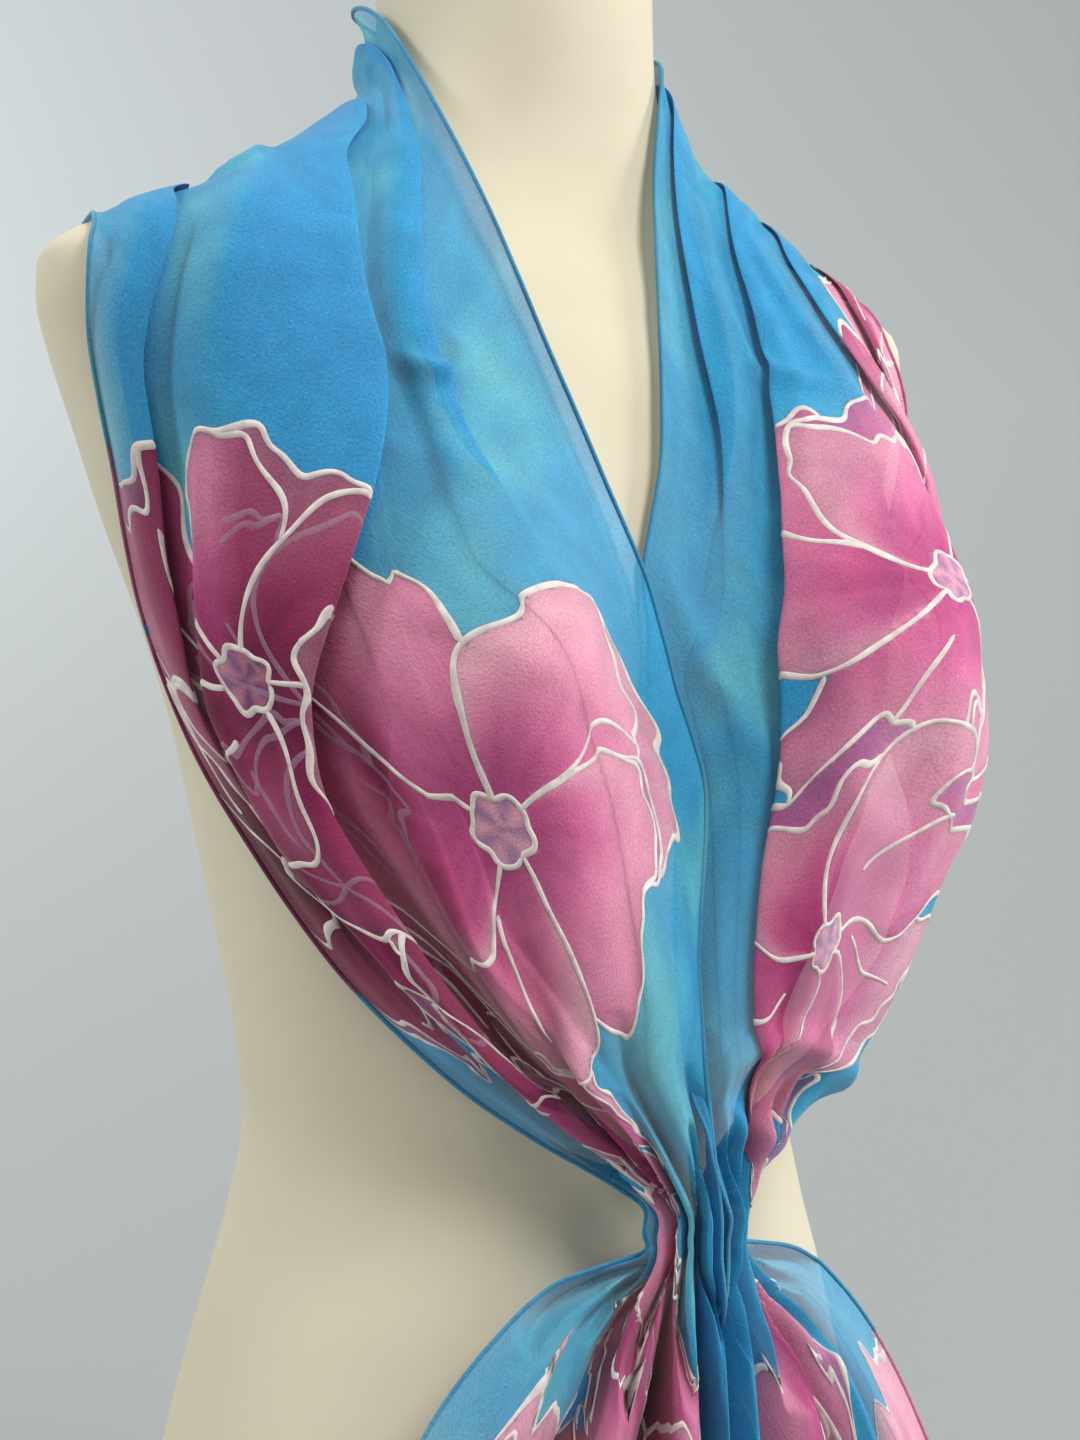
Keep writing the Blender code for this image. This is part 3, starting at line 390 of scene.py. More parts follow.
def form_ring(height, half_width, front, back, sides):
    """One level of the form: a rounded oval, with the bust raised from its front."""
    angle = np.linspace(0, 2 * math.pi, sides, endpoint=False)
    across = np.cos(angle)
    along = np.sin(angle)
    x = half_width * np.sign(across) * np.abs(across) ** FORM_SQUARENESS
    depth = np.where(along < 0, front, back)
    y = depth * np.sign(along) * np.abs(along) ** FORM_SQUARENESS
    rise = height - BUST_HEIGHT
    reach = BUST_BELOW if rise < 0 else BUST_ABOVE
    for side in (-1, 1):
        bust = np.exp(-(((x - side * BUST_SPREAD) / BUST_WIDTH) ** 2) - (rise / reach) ** 2)
        y = y - BUST_FULLNESS * bust * np.clip(-BUST_SIDE_FADE * along, 0, 1)
    return np.stack([x, y, np.full_like(x, height)], -1)


def form_rings(heights, sides):
    rows = np.array(FORM_ROWS)
    measures = [smooth_value(rows[:, 0], rows[:, k], heights) for k in (1, 2, 3)]
    return np.array([form_ring(*row, sides) for row in zip(heights, *measures)])


def ring_faces(rings, sides):
    faces = []
    for i in range(rings - 1):
        for j in range(sides):
            a = i * sides + j
            b = i * sides + (j + 1) % sides
            faces.append((a, b, b + sides, a + sides))
    return faces


def form_levels():
    """Heights of the rings that the form is built from."""
    return np.concatenate([
        [0.0, 0.010],
        np.linspace(0.045, 0.880, FORM_RINGS - 5),
        [0.893, 0.899, FORM_HEIGHT],
    ])


def form_surfaces():
    """The form that the cloth is laid on: a fine copy of it, and its own faces."""
    surfaces = []
    for heights, sides in ((np.linspace(0, FORM_HEIGHT, 110), 96), (form_levels(), FORM_SIDES)):
        points = [Vector(point) for point in form_rings(heights, sides).reshape(-1, 3)]
        surfaces.append(BVHTree.FromPolygons(points, ring_faces(len(heights), sides)))
    return surfaces


def gather_outline(side, share):
    """A point round the gather, from the front (share 0) towards the back (share 1)."""
    angle = np.radians(GATHER_START + GATHER_SWEEP * share)
    x = GATHER_CENTRE[0] + side * GATHER_HALF_WIDTH * np.sin(angle)
    y = GATHER_CENTRE[1] - GATHER_HALF_DEPTH * np.cos(angle)
    return x, y


def push_off(points, surfaces, least):
    """Moves each point that is nearer than the least distance to the form straight off it."""
    for i in range(points.shape[0]):
        for j in range(points.shape[1]):
            for surface in surfaces:
                place = Vector(points[i, j])
                on_form, outward = surface.find_nearest(place)[:2]
                if (place - on_form).dot(outward) < least:
                    points[i, j] = on_form + outward * least
    return points


def unit(vectors):
    return vectors / np.maximum(np.linalg.norm(vectors, axis=-1, keepdims=True), SMALLEST)


def surface_normals(points):
    """Unit normals of a grid of points, facing off the form."""
    return unit(np.cross(np.gradient(points, axis=0), np.gradient(points, axis=1)))


def neighbours(grid):
    """For each point, the sum of the two beside it in its row and of the two before and after it."""
    padded = np.pad(grid, ((1, 1), (1, 1), (0, 0)), mode="edge")
    return padded[1:-1, 2:] + padded[1:-1, :-2], padded[2:, 1:-1] + padded[:-2, 1:-1]


def outward_normals(sheet):
    """Unit normals of a grid of points, evened out mostly along its rows."""
    normal = surface_normals(sheet)
    for count in range(NORMAL_PASSES):
        beside, before_after = neighbours(normal)
        normal = unit(0.4 * normal + 0.2 * beside + 0.1 * before_after)
    return normal


def laid_cloth(stations, surfaces):
    """The plain sheet under the folds, tight between its hems and the gather, and off the form."""
    table = np.array([row[1:] for row in STATIONS])
    inner = smooth_path(table[:, :3], stations)
    outer = smooth_path(table[:, 3:], stations)
    across = np.linspace(0, 1, CARRIER_COLUMNS)
    t = across[None, :, None]
    sheet = inner[:, None] * (1 - t) + outer[:, None] * t
    away = outward_normals(sheet)
    worn = (stations > STATION_INDEX["right_gather"]) & (stations < STATION_INDEX["left_gather"])
    bulge = np.where(worn, STARTING_BULGE, 0.0)[:, None, None] * np.sin(math.pi * t)
    sheet = sheet + away * bulge
    free = np.ones(len(stations), bool)
    free[[0, -1]] = False
    for low, high, side in (
        ("right_gather_low", "right_gather", -1),
        ("left_gather", "left_gather_low", 1),
    ):
        held = (stations >= STATION_INDEX[low]) & (stations <= STATION_INDEX[high])
        x, y = gather_outline(side, across)
        for i in np.flatnonzero(held):
            sheet[i] = np.stack([x, y, np.full_like(x, inner[i, 2])], -1)
        free &= ~held
    for count in range(SETTLING_PASSES):
        settled = sheet.copy()
        along = 0.5 * (sheet[2:, 1:-1] + sheet[:-2, 1:-1])
        side_by_side = 0.5 * (sheet[1:-1, 2:] + sheet[1:-1, :-2])
        settled[1:-1, 1:-1] = LENGTHWISE_TENSION * along + (1 - LENGTHWISE_TENSION) * side_by_side
        sheet = np.where(free[:, None, None], settled, sheet)
        if count % PUSH_EVERY == PUSH_EVERY - 1 or count >= SETTLING_PASSES - LAST_PUSHES:
            sheet[free] = push_off(sheet[free], surfaces, CLEARANCE)
    return sheet


def run_to(places, heights, place, height, between):
    """Adds a point, after some evenly spaced ones on the way to it."""
    start = places[-1]
    level = heights[-1]
    for step in range(1, between + 2):
        share = step / (between + 1)
        places.append(start + (place - start) * share)
        heights.append(level + (height - level) * share)


def fold_section(station, width):
    """Places across (metres from the inner hem) and heights of the cloth at one station."""
    places = [0.0]
    heights = [0.0]
    reached = 0.0
    for number, rows in enumerate(FOLDS):
        crest, overlap, height, edge = (float(column(rows, k, station)) for k in (1, 2, 3, 4))
        crest *= width
        edge *= width
        turn = max(LOW_TURN * height, LEAST_TURN)
        if overlap < 0.0:
            crest = max(crest, reached + turn + LEAST_SPACE - overlap)
        back = max(crest + overlap, reached + turn + LEAST_SPACE)
        run_to(places, heights, back - turn, 0.0, LOW_RUN_POINTS[number])
        run_to(places, heights, back, LOW_TURN * height, 0)
        run_to(places, heights, crest, HIGH_TURN * height, MIDDLE_RUN_POINTS[number])
        run_to(places, heights, crest + turn, height, 0)
        edge = max(edge, crest + 2 * turn + LEAST_SPACE, back + 2 * turn + LEAST_SPACE)
        if number == TUCKED_FOLD:
            inside = edge - float(column(rows, 5, station))
            run_to(places, heights, edge - turn, height, TOP_RUN_POINTS[number])
            run_to(places, heights, edge, HIGH_TURN * height, 0)
            run_to(places, heights, inside, LOW_TURN * height, 0)
            run_to(places, heights, inside + turn, 0.0, 0)
            reached = max(edge, inside + turn)
        else:
            fall = max(FALL_PER_HEIGHT * height, LEAST_FALL)
            run_to(places, heights, edge, OUTER_EDGE * height, TOP_RUN_POINTS[number])
            run_to(places, heights, edge + fall, 0.0, 0)
            reached = edge + fall
    run_to(places, heights, max(width, reached + LEAST_SPACE), 0.0, LAST_RUN_POINTS)
    places = np.array(places)
    heights = np.array(heights)
    lift = float(column(HEM_LIFTS, 1, station))
    heights = heights + lift * np.exp(-((places / HEM_LIFT_WIDTH) ** 2))
    if places[-1] > width:
        places = places * width / places[-1]
    return places, heights


# ---------------------------------------------------------------- the scarf as it is worn, in fine rows
FINE_ROWS = 20
FINE_ACROSS = 97
ROUNDING = 3
CLOTH_WIDTH = 0.35
NAPE = STATION_INDEX["nape"]

# Soft creases along the cloth: first station, place across there, last station, place across there,
# width, height
CREASES = (
    ("right_shoulder", 0.13, "right_chest_low", 0.24, 0.0060, 0.0026),
    ("right_neck_front", 0.20, "right_chest", 0.17, 0.0050, 0.0022),
    ("right_chest_low", 0.12, "right_under_bust", 0.30, 0.0100, 0.0022),
    ("right_bust_top", 0.40, "right_rib_low", 0.36, 0.0080, 0.0024),
    ("right_bust", 0.26, "right_draw", 0.20, 0.0070, 0.0030),
    ("right_chest", 0.60, "right_bust_top", 0.66, 0.0120, 0.0030),
    ("right_collar_bone", 0.78, "right_bust", 0.84, 0.0100, 0.0026),
    ("right_shoulder", 0.42, "right_chest_low", 0.60, 0.0100, 0.0026),
    ("right_bust", 0.66, "right_draw", 0.54, 0.0080, 0.0100),
    ("right_under_bust", 0.55, "right_draw", 0.36, 0.0070, 0.0040),
    ("right_under_bust", 0.79, "right_draw", 0.70, 0.0080, 0.0110),
    ("right_rib", 0.88, "right_gather", 0.82, 0.0055, 0.0050),
    ("left_neck_front", 0.20, "left_chest_low", 0.16, 0.0060, 0.0026),
    ("left_chest", 0.60, "left_bust", 0.52, 0.0100, 0.0034),
    ("left_chest_low", 0.74, "left_under_bust", 0.60, 0.0110, 0.0040),
    ("left_bust_top", 0.34, "left_rib_low", 0.32, 0.0090, 0.0034),
    ("left_bust_top", 0.02, "left_under_bust", 0.19, 0.0070, 0.0030),
    ("left_bust", 0.80, "left_draw", 0.66, 0.0080, 0.0040),
    ("left_under_bust", 0.48, "left_gather", 0.46, 0.0070, 0.0050),
    ("left_rib", 0.12, "left_gather", 0.08, 0.0055, 0.0040),
    ("right_chest", 0.10, "right_bust", 0.06, 0.0045, 0.0014),
    ("right_chest_low", 0.22, "right_bust", 0.16, 0.0050, 0.0016),
    ("right_bust_top", 0.34, "right_rib_low", 0.30, 0.0045, 0.0018),
    ("right_bust", 0.47, "right_rib_low", 0.45, 0.0050, 0.0020),
    ("right_collar_bone", 0.54, "right_bust_top", 0.60, 0.0060, 0.0020),
    ("right_neck_front", 0.50, "right_chest_low", 0.70, 0.0070, 0.0022),
    ("right_collar_bone", 0.92, "right_bust", 0.94, 0.0050, 0.0016),
    ("right_bust", 0.94, "right_draw", 0.90, 0.0050, 0.0026),
    ("left_collar_bone", 0.32, "left_bust_top", 0.28, 0.0050, 0.0018),
    ("left_neck_front", 0.36, "left_chest_low", 0.46, 0.0060, 0.0024),
    ("left_collar_bone", 0.66, "left_bust_top", 0.70, 0.0070, 0.0024),
    ("left_chest", 0.04, "left_bust", 0.06, 0.0050, 0.0014),
    ("left_bust_top", 0.46, "left_rib_low", 0.52, 0.0060, 0.0024),
    ("left_bust", 0.60, "left_draw", 0.56, 0.0060, 0.0034),
    ("left_chest_low", 0.92, "left_under_bust", 0.90, 0.0060, 0.0024),
    ("right_nape_side", 0.20, "left_nape_side", 0.26, 0.0060, 0.0026),
    ("right_nape_side", 0.66, "left_nape_side", 0.62, 0.0080, 0.0030),
    ("right_shoulder_back", 0.50, "nape", 0.44, 0.0070, 0.0026),
    ("nape", 0.84, "left_shoulder", 0.74, 0.0080, 0.0030),
)

# How far, in stations, a crease fades out beyond its first and last station
CREASE_FADE = 0.6

# Rolls and the hollows beside them, which change place and size as they run along the cloth:
# station, place across, width, height
ROLLS = (
    # the roll of the big fold on the right panel, and the deep hollows on its two sides
    (
        ("right_chest", 0.500, 0.0220, 0.0000),
        ("right_bust_top", 0.640, 0.0180, 0.0035),
        ("right_bust", 0.730, 0.0110, 0.0100),
        ("right_under_bust", 0.770, 0.0095, 0.0140),
        ("right_rib", 0.755, 0.0090, 0.0140),
        ("right_rib_low", 0.735, 0.0080, 0.0110),
        ("right_draw", 0.650, 0.0065, 0.0060),
        ("right_gather", 0.620, 0.0050, 0.0000),
    ),
    (
        ("right_chest_low", 0.420, 0.0120, 0.0000),
        ("right_bust_top", 0.500, 0.0110, -0.0030),
        ("right_bust", 0.620, 0.0110, -0.0060),
        ("right_under_bust", 0.665, 0.0100, -0.0090),
        ("right_rib", 0.655, 0.0090, -0.0090),
        ("right_rib_low", 0.640, 0.0075, -0.0070),
        ("right_draw", 0.560, 0.0055, -0.0030),
        ("right_gather", 0.560, 0.0050, 0.0000),
    ),
    (
        ("right_bust_top", 0.780, 0.0080, 0.0000),
        ("right_bust", 0.830, 0.0080, -0.0055),
        ("right_under_bust", 0.860, 0.0080, -0.0100),
        ("right_rib", 0.850, 0.0075, -0.0100),
        ("right_rib_low", 0.835, 0.0065, -0.0060),
        ("right_draw", 0.760, 0.0050, -0.0020),
        ("right_gather", 0.740, 0.0050, 0.0000),
    ),
    (
        ("right_bust", 0.900, 0.0060, 0.0000),
        ("right_under_bust", 0.925, 0.0060, 0.0045),
        ("right_rib", 0.915, 0.0060, 0.0055),
        ("right_rib_low", 0.900, 0.0055, 0.0045),
        ("right_draw", 0.840, 0.0050, 0.0020),
        ("right_gather", 0.830, 0.0050, 0.0000),
    ),
    # softer ridges that rise from the gather into the inner half of the right panel
    (
        ("right_bust_top", 0.340, 0.0140, 0.0000),
        ("right_bust", 0.460, 0.0110, 0.0050),
        ("right_under_bust", 0.570, 0.0085, 0.0095),
        ("right_rib", 0.565, 0.0080, 0.0110),
        ("right_rib_low", 0.540, 0.0075, 0.0090),
        ("right_draw", 0.460, 0.0060, 0.0040),
        ("right_gather", 0.450, 0.0050, 0.0000),
    ),
    (
        ("right_under_bust", 0.420, 0.0120, 0.0000),
        ("right_rib", 0.430, 0.0100, -0.0045),
        ("right_rib_low", 0.410, 0.0080, -0.0050),
        ("right_draw", 0.370, 0.0060, -0.0020),
        ("right_gather", 0.360, 0.0050, 0.0000),
    ),
    (
        ("right_under_bust", 0.290, 0.0120, 0.0000),
        ("right_rib", 0.300, 0.0110, 0.0040),
        ("right_rib_low", 0.290, 0.0090, 0.0050),
        ("right_draw", 0.270, 0.0060, 0.0030),
        ("right_gather", 0.260, 0.0050, 0.0000),
    ),
    # the fold that runs down from the neck, and the hollow that it leaves outside it
    (
        ("right_shoulder", 0.170, 0.0100, 0.0000),
        ("right_neck_front", 0.220, 0.0110, 0.0030),
        ("right_collar_bone", 0.290, 0.0110, 0.0045),
        ("right_chest", 0.330, 0.0090, 0.0050),
        ("right_chest_low", 0.330, 0.0080, 0.0000),
    ),
    # the tubes that the tails hang in
    (
        ("right_tail_end", 0.330, 0.0160, 0.0040),
        ("right_tail_high", 0.330, 0.0120, 0.0050),
        ("right_tail_top", 0.360, 0.0090, 0.0030),
        ("right_gather_low", 0.400, 0.0060, 0.0000),
    ),
    (
        ("right_tail_end", 0.540, 0.0160, 0.0040),
        ("right_tail_high", 0.545, 0.0120, 0.0060),
        ("right_tail_top", 0.580, 0.0090, 0.0040),
        ("right_gather_low", 0.620, 0.0060, 0.0000),
    ),
    (
        ("left_gather_low", 0.400, 0.0060, 0.0000),
        ("left_tail_top", 0.380, 0.0090, 0.0040),
        ("left_tail_high", 0.370, 0.0120, 0.0060),
        ("left_tail_end", 0.370, 0.0160, 0.0040),
    ),
    (
        ("left_gather_low", 0.620, 0.0060, 0.0000),
        ("left_tail_top", 0.605, 0.0090, 0.0030),
        ("left_tail_high", 0.595, 0.0120, 0.0050),
        ("left_tail_end", 0.595, 0.0160, 0.0040),
    ),
    # the left panel: a broad roll under the bust and the hollows beside it
    (
        ("left_bust_top", 0.560, 0.0140, 0.0000),
        ("left_bust", 0.560, 0.0130, 0.0040),
        ("left_under_bust", 0.560, 0.0120, 0.0070),
        ("left_rib", 0.560, 0.0100, 0.0085),
        ("left_rib_low", 0.540, 0.0085, 0.0070),
        ("left_draw", 0.500, 0.0060, 0.0030),
        ("left_gather", 0.490, 0.0050, 0.0000),
    ),
    (
        ("left_bust", 0.430, 0.0120, 0.0000),
        ("left_under_bust", 0.430, 0.0110, -0.0050),
        ("left_rib", 0.430, 0.0095, -0.0070),
        ("left_rib_low", 0.420, 0.0080, -0.0060),
        ("left_draw", 0.400, 0.0055, -0.0030),
        ("left_gather", 0.400, 0.0050, 0.0000),
    ),
    (
        ("left_bust", 0.740, 0.0120, 0.0000),
        ("left_under_bust", 0.730, 0.0110, -0.0050),
        ("left_rib", 0.720, 0.0095, -0.0065),
        ("left_rib_low", 0.700, 0.0080, -0.0050),
        ("left_draw", 0.660, 0.0055, -0.0020),
        ("left_gather", 0.660, 0.0050, 0.0000),
    ),
    (
        ("left_chest_low", 0.780, 0.0140, 0.0000),
        ("left_bust_top", 0.800, 0.0130, 0.0040),
        ("left_bust", 0.820, 0.0120, 0.0055),
        ("left_rib", 0.830, 0.0090, 0.0050),
        ("left_draw", 0.780, 0.0060, 0.0000),
    ),
)

# Short drag folds across the cloth: station, place across, how far they reach in stations and in
# places, how much they slant (stations for each place across), height
DRAGS = (
    (35.35, 0.36, 0.16, 0.260, 0.6, 0.0050),
    (34.60, 0.70, 0.25, 0.150, 1.0, 0.0040),
    (12.60, 0.30, 0.22, 0.140, 3.0, 0.0016),
    (11.30, 0.42, 0.20, 0.120, 4.0, 0.0014),
    (10.40, 0.20, 0.18, 0.090, 3.0, 0.0016),
    (30.80, 0.10, 0.30, 0.060, 5.0, 0.0026),
    (29.40, 0.40, 0.25, 0.110, -3.0, 0.0018),
    (32.60, 0.42, 0.25, 0.120, 3.0, 0.0020),
    (21.60, 0.40, 0.35, 0.090, 3.0, 0.0022),
)

# Pockets where the cloth sags into a small hanging curve: station, place across, radius of the
# curve, its width and height, which way it hangs (1 towards higher stations)
POCKETS = (
    (13.95, 0.300, 0.0140, 0.0046, 0.0042, -1),
    (16.60, 0.600, 0.0090, 0.0040, 0.0045, -1),
    (35.20, 0.360, 0.0290, 0.0070, 0.0080, -1),
    (27.90, 0.330, 0.0210, 0.0055, 0.0030, 1),
)
STATION_STEP = 0.043

# Where more of the cloth is bunched behind a fold, and where the hollows beside the folds get painted
# shade, the colour is deeper: station, place across, reach in stations, spread in places, how much
BUNCHED_AND_PAINTED_SHADE = (
    (11.00, 0.860, 1.10, 0.055, 1.45),
    (9.60, 0.850, 1.20, 0.052, 1.50),
    (10.40, 0.655, 1.00, 0.035, 1.30),
    (9.00, 0.645, 1.00, 0.035, 1.50),
    (8.00, 0.560, 0.80, 0.050, 0.80),
    (10.00, 0.960, 1.80, 0.060, 1.30),
    (12.20, 0.930, 1.20, 0.060, 1.10),
    (34.60, 0.420, 0.90, 0.060, 0.70),
    (3.80, 0.430, 1.20, 0.045, 1.10),
    (3.60, 0.650, 1.20, 0.045, 1.10),
    (4.00, 0.220, 1.20, 0.035, 0.90),
    (38.40, 0.260, 1.20, 0.045, 0.60),
    (38.20, 0.480, 1.20, 0.045, 0.60),
    (38.40, 0.710, 1.20, 0.035, 0.90),
)

# How full the folds are: station, share of the height that the solid's folds have
FULLNESS = (
    ("right_tail_end", 1.00),
    ("right_gather", 1.00),
    ("right_draw", 1.15),
    ("right_rib_low", 1.45),
    ("right_rib", 1.60),
    ("right_under_bust", 1.60),
    ("right_bust", 1.45),
    ("right_bust_top", 1.25),
    ("right_chest", 1.10),
    ("right_collar_bone", 0.85),
    ("right_neck_front", 0.60),
    ("right_shoulder", 0.45),
    ("right_shoulder_back", 0.55),
    ("right_nape_side", 0.90),
    ("left_nape_side", 0.90),
    ("left_shoulder_back", 0.55),
    ("left_shoulder", 0.40),
    ("left_neck_front", 0.45),
    ("left_collar_bone", 0.60),
    ("left_chest", 0.80),
    ("left_bust_top", 1.00),
    ("left_tail_end", 1.00),
)

# Pleats that run through the gather on each side: place across in the panel, in the gather and in
# the tail, how far up the panel, how far down the tail (both in stations), how deep beside the others
RIGHT_PLEATS = (
    (0.100, 0.075, 0.035, 1.4, 8.5, 0.80),
    (0.200, 0.180, 0.120, 0.9, 0.9, 0.75),
    (0.350, 0.290, 0.220, 2.0, 8.5, 1.00),
    (0.440, 0.400, 0.330, 1.3, 1.1, 0.80),
    (0.560, 0.510, 0.430, 2.8, 8.5, 1.00),
    (0.660, 0.620, 0.540, 1.5, 1.3, 0.80),
    (0.800, 0.725, 0.655, 2.8, 8.5, 1.00),
    (0.870, 0.830, 0.790, 1.0, 1.0, 0.75),
    (0.950, 0.930, 0.915, 1.3, 1.4, 0.80),
)
LEFT_PLEATS = (
    (0.080, 0.075, 0.040, 1.6, 8.5, 0.85),
    (0.190, 0.180, 0.150, 0.9, 1.0, 0.75),
    (0.300, 0.290, 0.260, 2.2, 8.5, 1.00),
    (0.400, 0.400, 0.370, 1.2, 1.2, 0.80),
    (0.480, 0.510, 0.480, 2.6, 8.5, 1.00),
    (0.600, 0.620, 0.595, 1.2, 1.2, 0.80),
    (0.720, 0.725, 0.710, 2.4, 8.5, 1.00),
    (0.840, 0.830, 0.830, 1.2, 0.9, 0.75),
    (0.930, 0.930, 0.950, 1.1, 1.2, 0.70),
)
PLEAT_BREADTH = 0.028
PLEAT_SWAY = 0.030
# How far from the gather, in stations, the pleats keep changing place and depth
GATHER_REACH = 1.5
DEEPEST_IN_GATHER = 0.0185
DEEPEST_IN_TAIL = 0.0300
DEEPEST_IN_PANEL = 0.0120
LEAST_OFF_FORM = 0.0016
DIRECTION_PASSES = 10
DEPTH_HALVINGS = 12
# How far the depth of the pleats is evened out along the cloth, in stations
DEPTH_SPREAD = 0.4

# A hollow may press an upper layer down by this share of its height over the layer below
KEPT_OF_LAYER = 0.70


def swell(value, low, high):
    """0 outside low to high, rising smoothly to 1 halfway between."""
    t = np.clip((value - low) / (high - low), 0, 1)
    return np.sin(math.pi * t) ** 1.3


def smooth_step(value):
    t = np.clip(value, 0, 1)
    return t * t * (3 - 2 * t)


def crease_heights(station, shares, width):
    """Heights of the soft creases at one station."""
    heights = np.zeros_like(shares)
    for first, start, last, end, breadth, rise in CREASES:
        low = STATION_INDEX[first] - CREASE_FADE
        high = STATION_INDEX[last] + CREASE_FADE
        if low < station < high:
            t = (station - low) / (high - low)
            centre = start + (end - start) * t * t * (3 - 2 * t)
            amount = float(swell(station, low, high))
            heights += rise * amount * np.exp(-(((shares - centre) * width / breadth) ** 2))
    for rows in ROLLS:
        if STATION_INDEX[rows[0][0]] < station < STATION_INDEX[rows[-1][0]]:
            centre, breadth, rise = (float(column(rows, k, station)) for k in (1, 2, 3))
            heights += rise * np.exp(-(((shares - centre) * width / breadth) ** 2))
    for centre, place, reach, breadth, slant, rise in DRAGS:
        from_middle = station - centre - slant * (shares - place)
        heights += rise * np.exp(-((from_middle / reach) ** 2) - ((shares - place) / breadth) ** 2)
    for centre, place, radius, breadth, rise, hangs in POCKETS:
        down = (station - centre) * STATION_STEP * hangs
        aside = (shares - place) * width
        lower = smooth_step(0.5 + 0.5 * down / radius)
        heights += rise * lower * np.exp(-(((np.hypot(down, aside) - radius) / breadth) ** 2))
    return heights


def from_gather(station):
    """How far a station is from the gather on its side, in stations, and whether it is in a tail."""
    if station < NAPE:
        low, high = STATION_INDEX["right_gather_low"], STATION_INDEX["right_gather"]
        past = station - np.clip(station, low, high)
        return abs(past), past < 0
    low, high = STATION_INDEX["left_gather"], STATION_INDEX["left_gather_low"]
    past = station - np.clip(station, low, high)
    return abs(past), past > 0


def pleat_depths(station, shares):
    """Shape of the pleats at one station, from 0 to 1, and the deepest that they may be."""
    away, in_tail = from_gather(station)
    depths = np.zeros_like(shares)
    table = RIGHT_PLEATS if station < NAPE else LEFT_PLEATS
    for number, (in_panel, in_gather, low_place, up, down, depth) in enumerate(table):
        reach = down if in_tail else up
        if away < reach:
            fade = math.cos(0.5 * math.pi * away / reach) ** 0.7
            far_place = low_place if in_tail else in_panel
            place = in_gather + (far_place - in_gather) * smooth_step(away / GATHER_REACH)
            sway = PLEAT_SWAY * math.sin(2.1 * number + 3.4 * away) * math.exp(-away)
            breadth = PLEAT_BREADTH * (1 + 0.22 * min(away, 2.5))
            pleat = depth * fade * np.exp(-(((shares - place - sway) / breadth) ** 2))
            depths = np.maximum(depths, pleat)
    far = DEEPEST_IN_TAIL if in_tail else DEEPEST_IN_PANEL
    opened = float(smooth_step(away / GATHER_REACH))
    return depths, DEEPEST_IN_GATHER + (far - DEEPEST_IN_GATHER) * opened


def rounded(lines, times):
    """Cuts the corners of many lines at once, keeping their ends."""
    for count in range(times):
        near = 0.75 * lines[:, :-1] + 0.25 * lines[:, 1:]
        far = 0.25 * lines[:, :-1] + 0.75 * lines[:, 1:]
        cut = np.empty((lines.shape[0], 2 * near.shape[1], lines.shape[2]))
        cut[:, 0::2] = near
        cut[:, 1::2] = far
        cut[:, 0] = lines[:, 0]
        cut[:, -1] = lines[:, -1]
        lines = cut
    return lines


def fine_sheet(stations):
    """The plain sheet under the folds, with smooth rows at the stations asked for."""
    coarse = np.linspace(0, len(STATIONS) - 1, (len(STATIONS) - 1) * ROWS_PER_STATION + 1)
    sheet = laid_cloth(coarse, form_surfaces())
    rows = smooth_path(sheet.reshape(len(coarse), -1), stations * ROWS_PER_STATION)
    rows = rows.reshape(len(stations), CARRIER_COLUMNS, 3)
    wanted = np.linspace(0, CARRIER_COLUMNS - 1, FINE_ACROSS)
    columns = smooth_path(rows.transpose(1, 0, 2).reshape(CARRIER_COLUMNS, -1), wanted)
    return columns.reshape(FINE_ACROSS, len(stations), 3).transpose(1, 0, 2)


def room_inside(point, surfaces):
    """How far a point of the cloth can move in before it is too near the form."""
    nearest = 1.0
    for surface in surfaces:
        place = Vector(point)
        on_form, outward = surface.find_nearest(place)[:2]
        nearest = min(nearest, (place - on_form).dot(outward))
    return max(nearest - LEAST_OFF_FORM, 0.0)


def fold_directions(sheet, off_gather):
    """The way the folds stand off the sheet: level at the gather, and even everywhere."""
    normals = surface_normals(sheet)
    for count in range(DIRECTION_PASSES):
        beside, before_after = neighbours(normals)
        normals = unit(normals + beside + before_after)
    normals[..., 2] *= np.clip(off_gather, 0, 1)[:, None]
    return unit(normals)


def folded_row(station, sheet, normals, section, width, surfaces):
    """One row with its folds and creases: its points, their directions outwards, the room inside
    them, the shape of the pleats there and the deepest that these may be."""
    puff = float(column(PUFFS, 1, station))
    middle = float(column(PUFFS, 2, station))
    steps = np.linalg.norm(np.diff(sheet, axis=0), axis=-1)
    reach = np.concatenate([[0.0], np.cumsum(steps)])
    share = reach / reach[-1]
    hump = np.where(
        share < middle,
        np.sin(0.5 * math.pi * share / middle),
        np.cos(0.5 * math.pi * np.clip((share - middle) / (1 - middle), 0, 1)),
    )
    base = sheet + normals * (puff * np.clip(hump, 0, 1) ** 1.5)[:, None]
    places = section[:, 0]
    shares = places / width
    room = np.interp(places, reach, [room_inside(point, surfaces) for point in base])
    heights = section[:, 1] * float(column(FULLNESS, 1, station))
    lowest = -room - KEPT_OF_LAYER * heights
    heights = heights + np.maximum(crease_heights(station, shares, width), lowest)
    on_sheet = np.stack([np.interp(places, reach, base[:, k]) for k in range(3)], -1)
    outward = unit(np.stack([np.interp(places, reach, normals[:, k]) for k in range(3)], -1))
    pleats, deepest = pleat_depths(station, shares)
    return on_sheet + outward * heights[:, None], outward, room, pleats, deepest


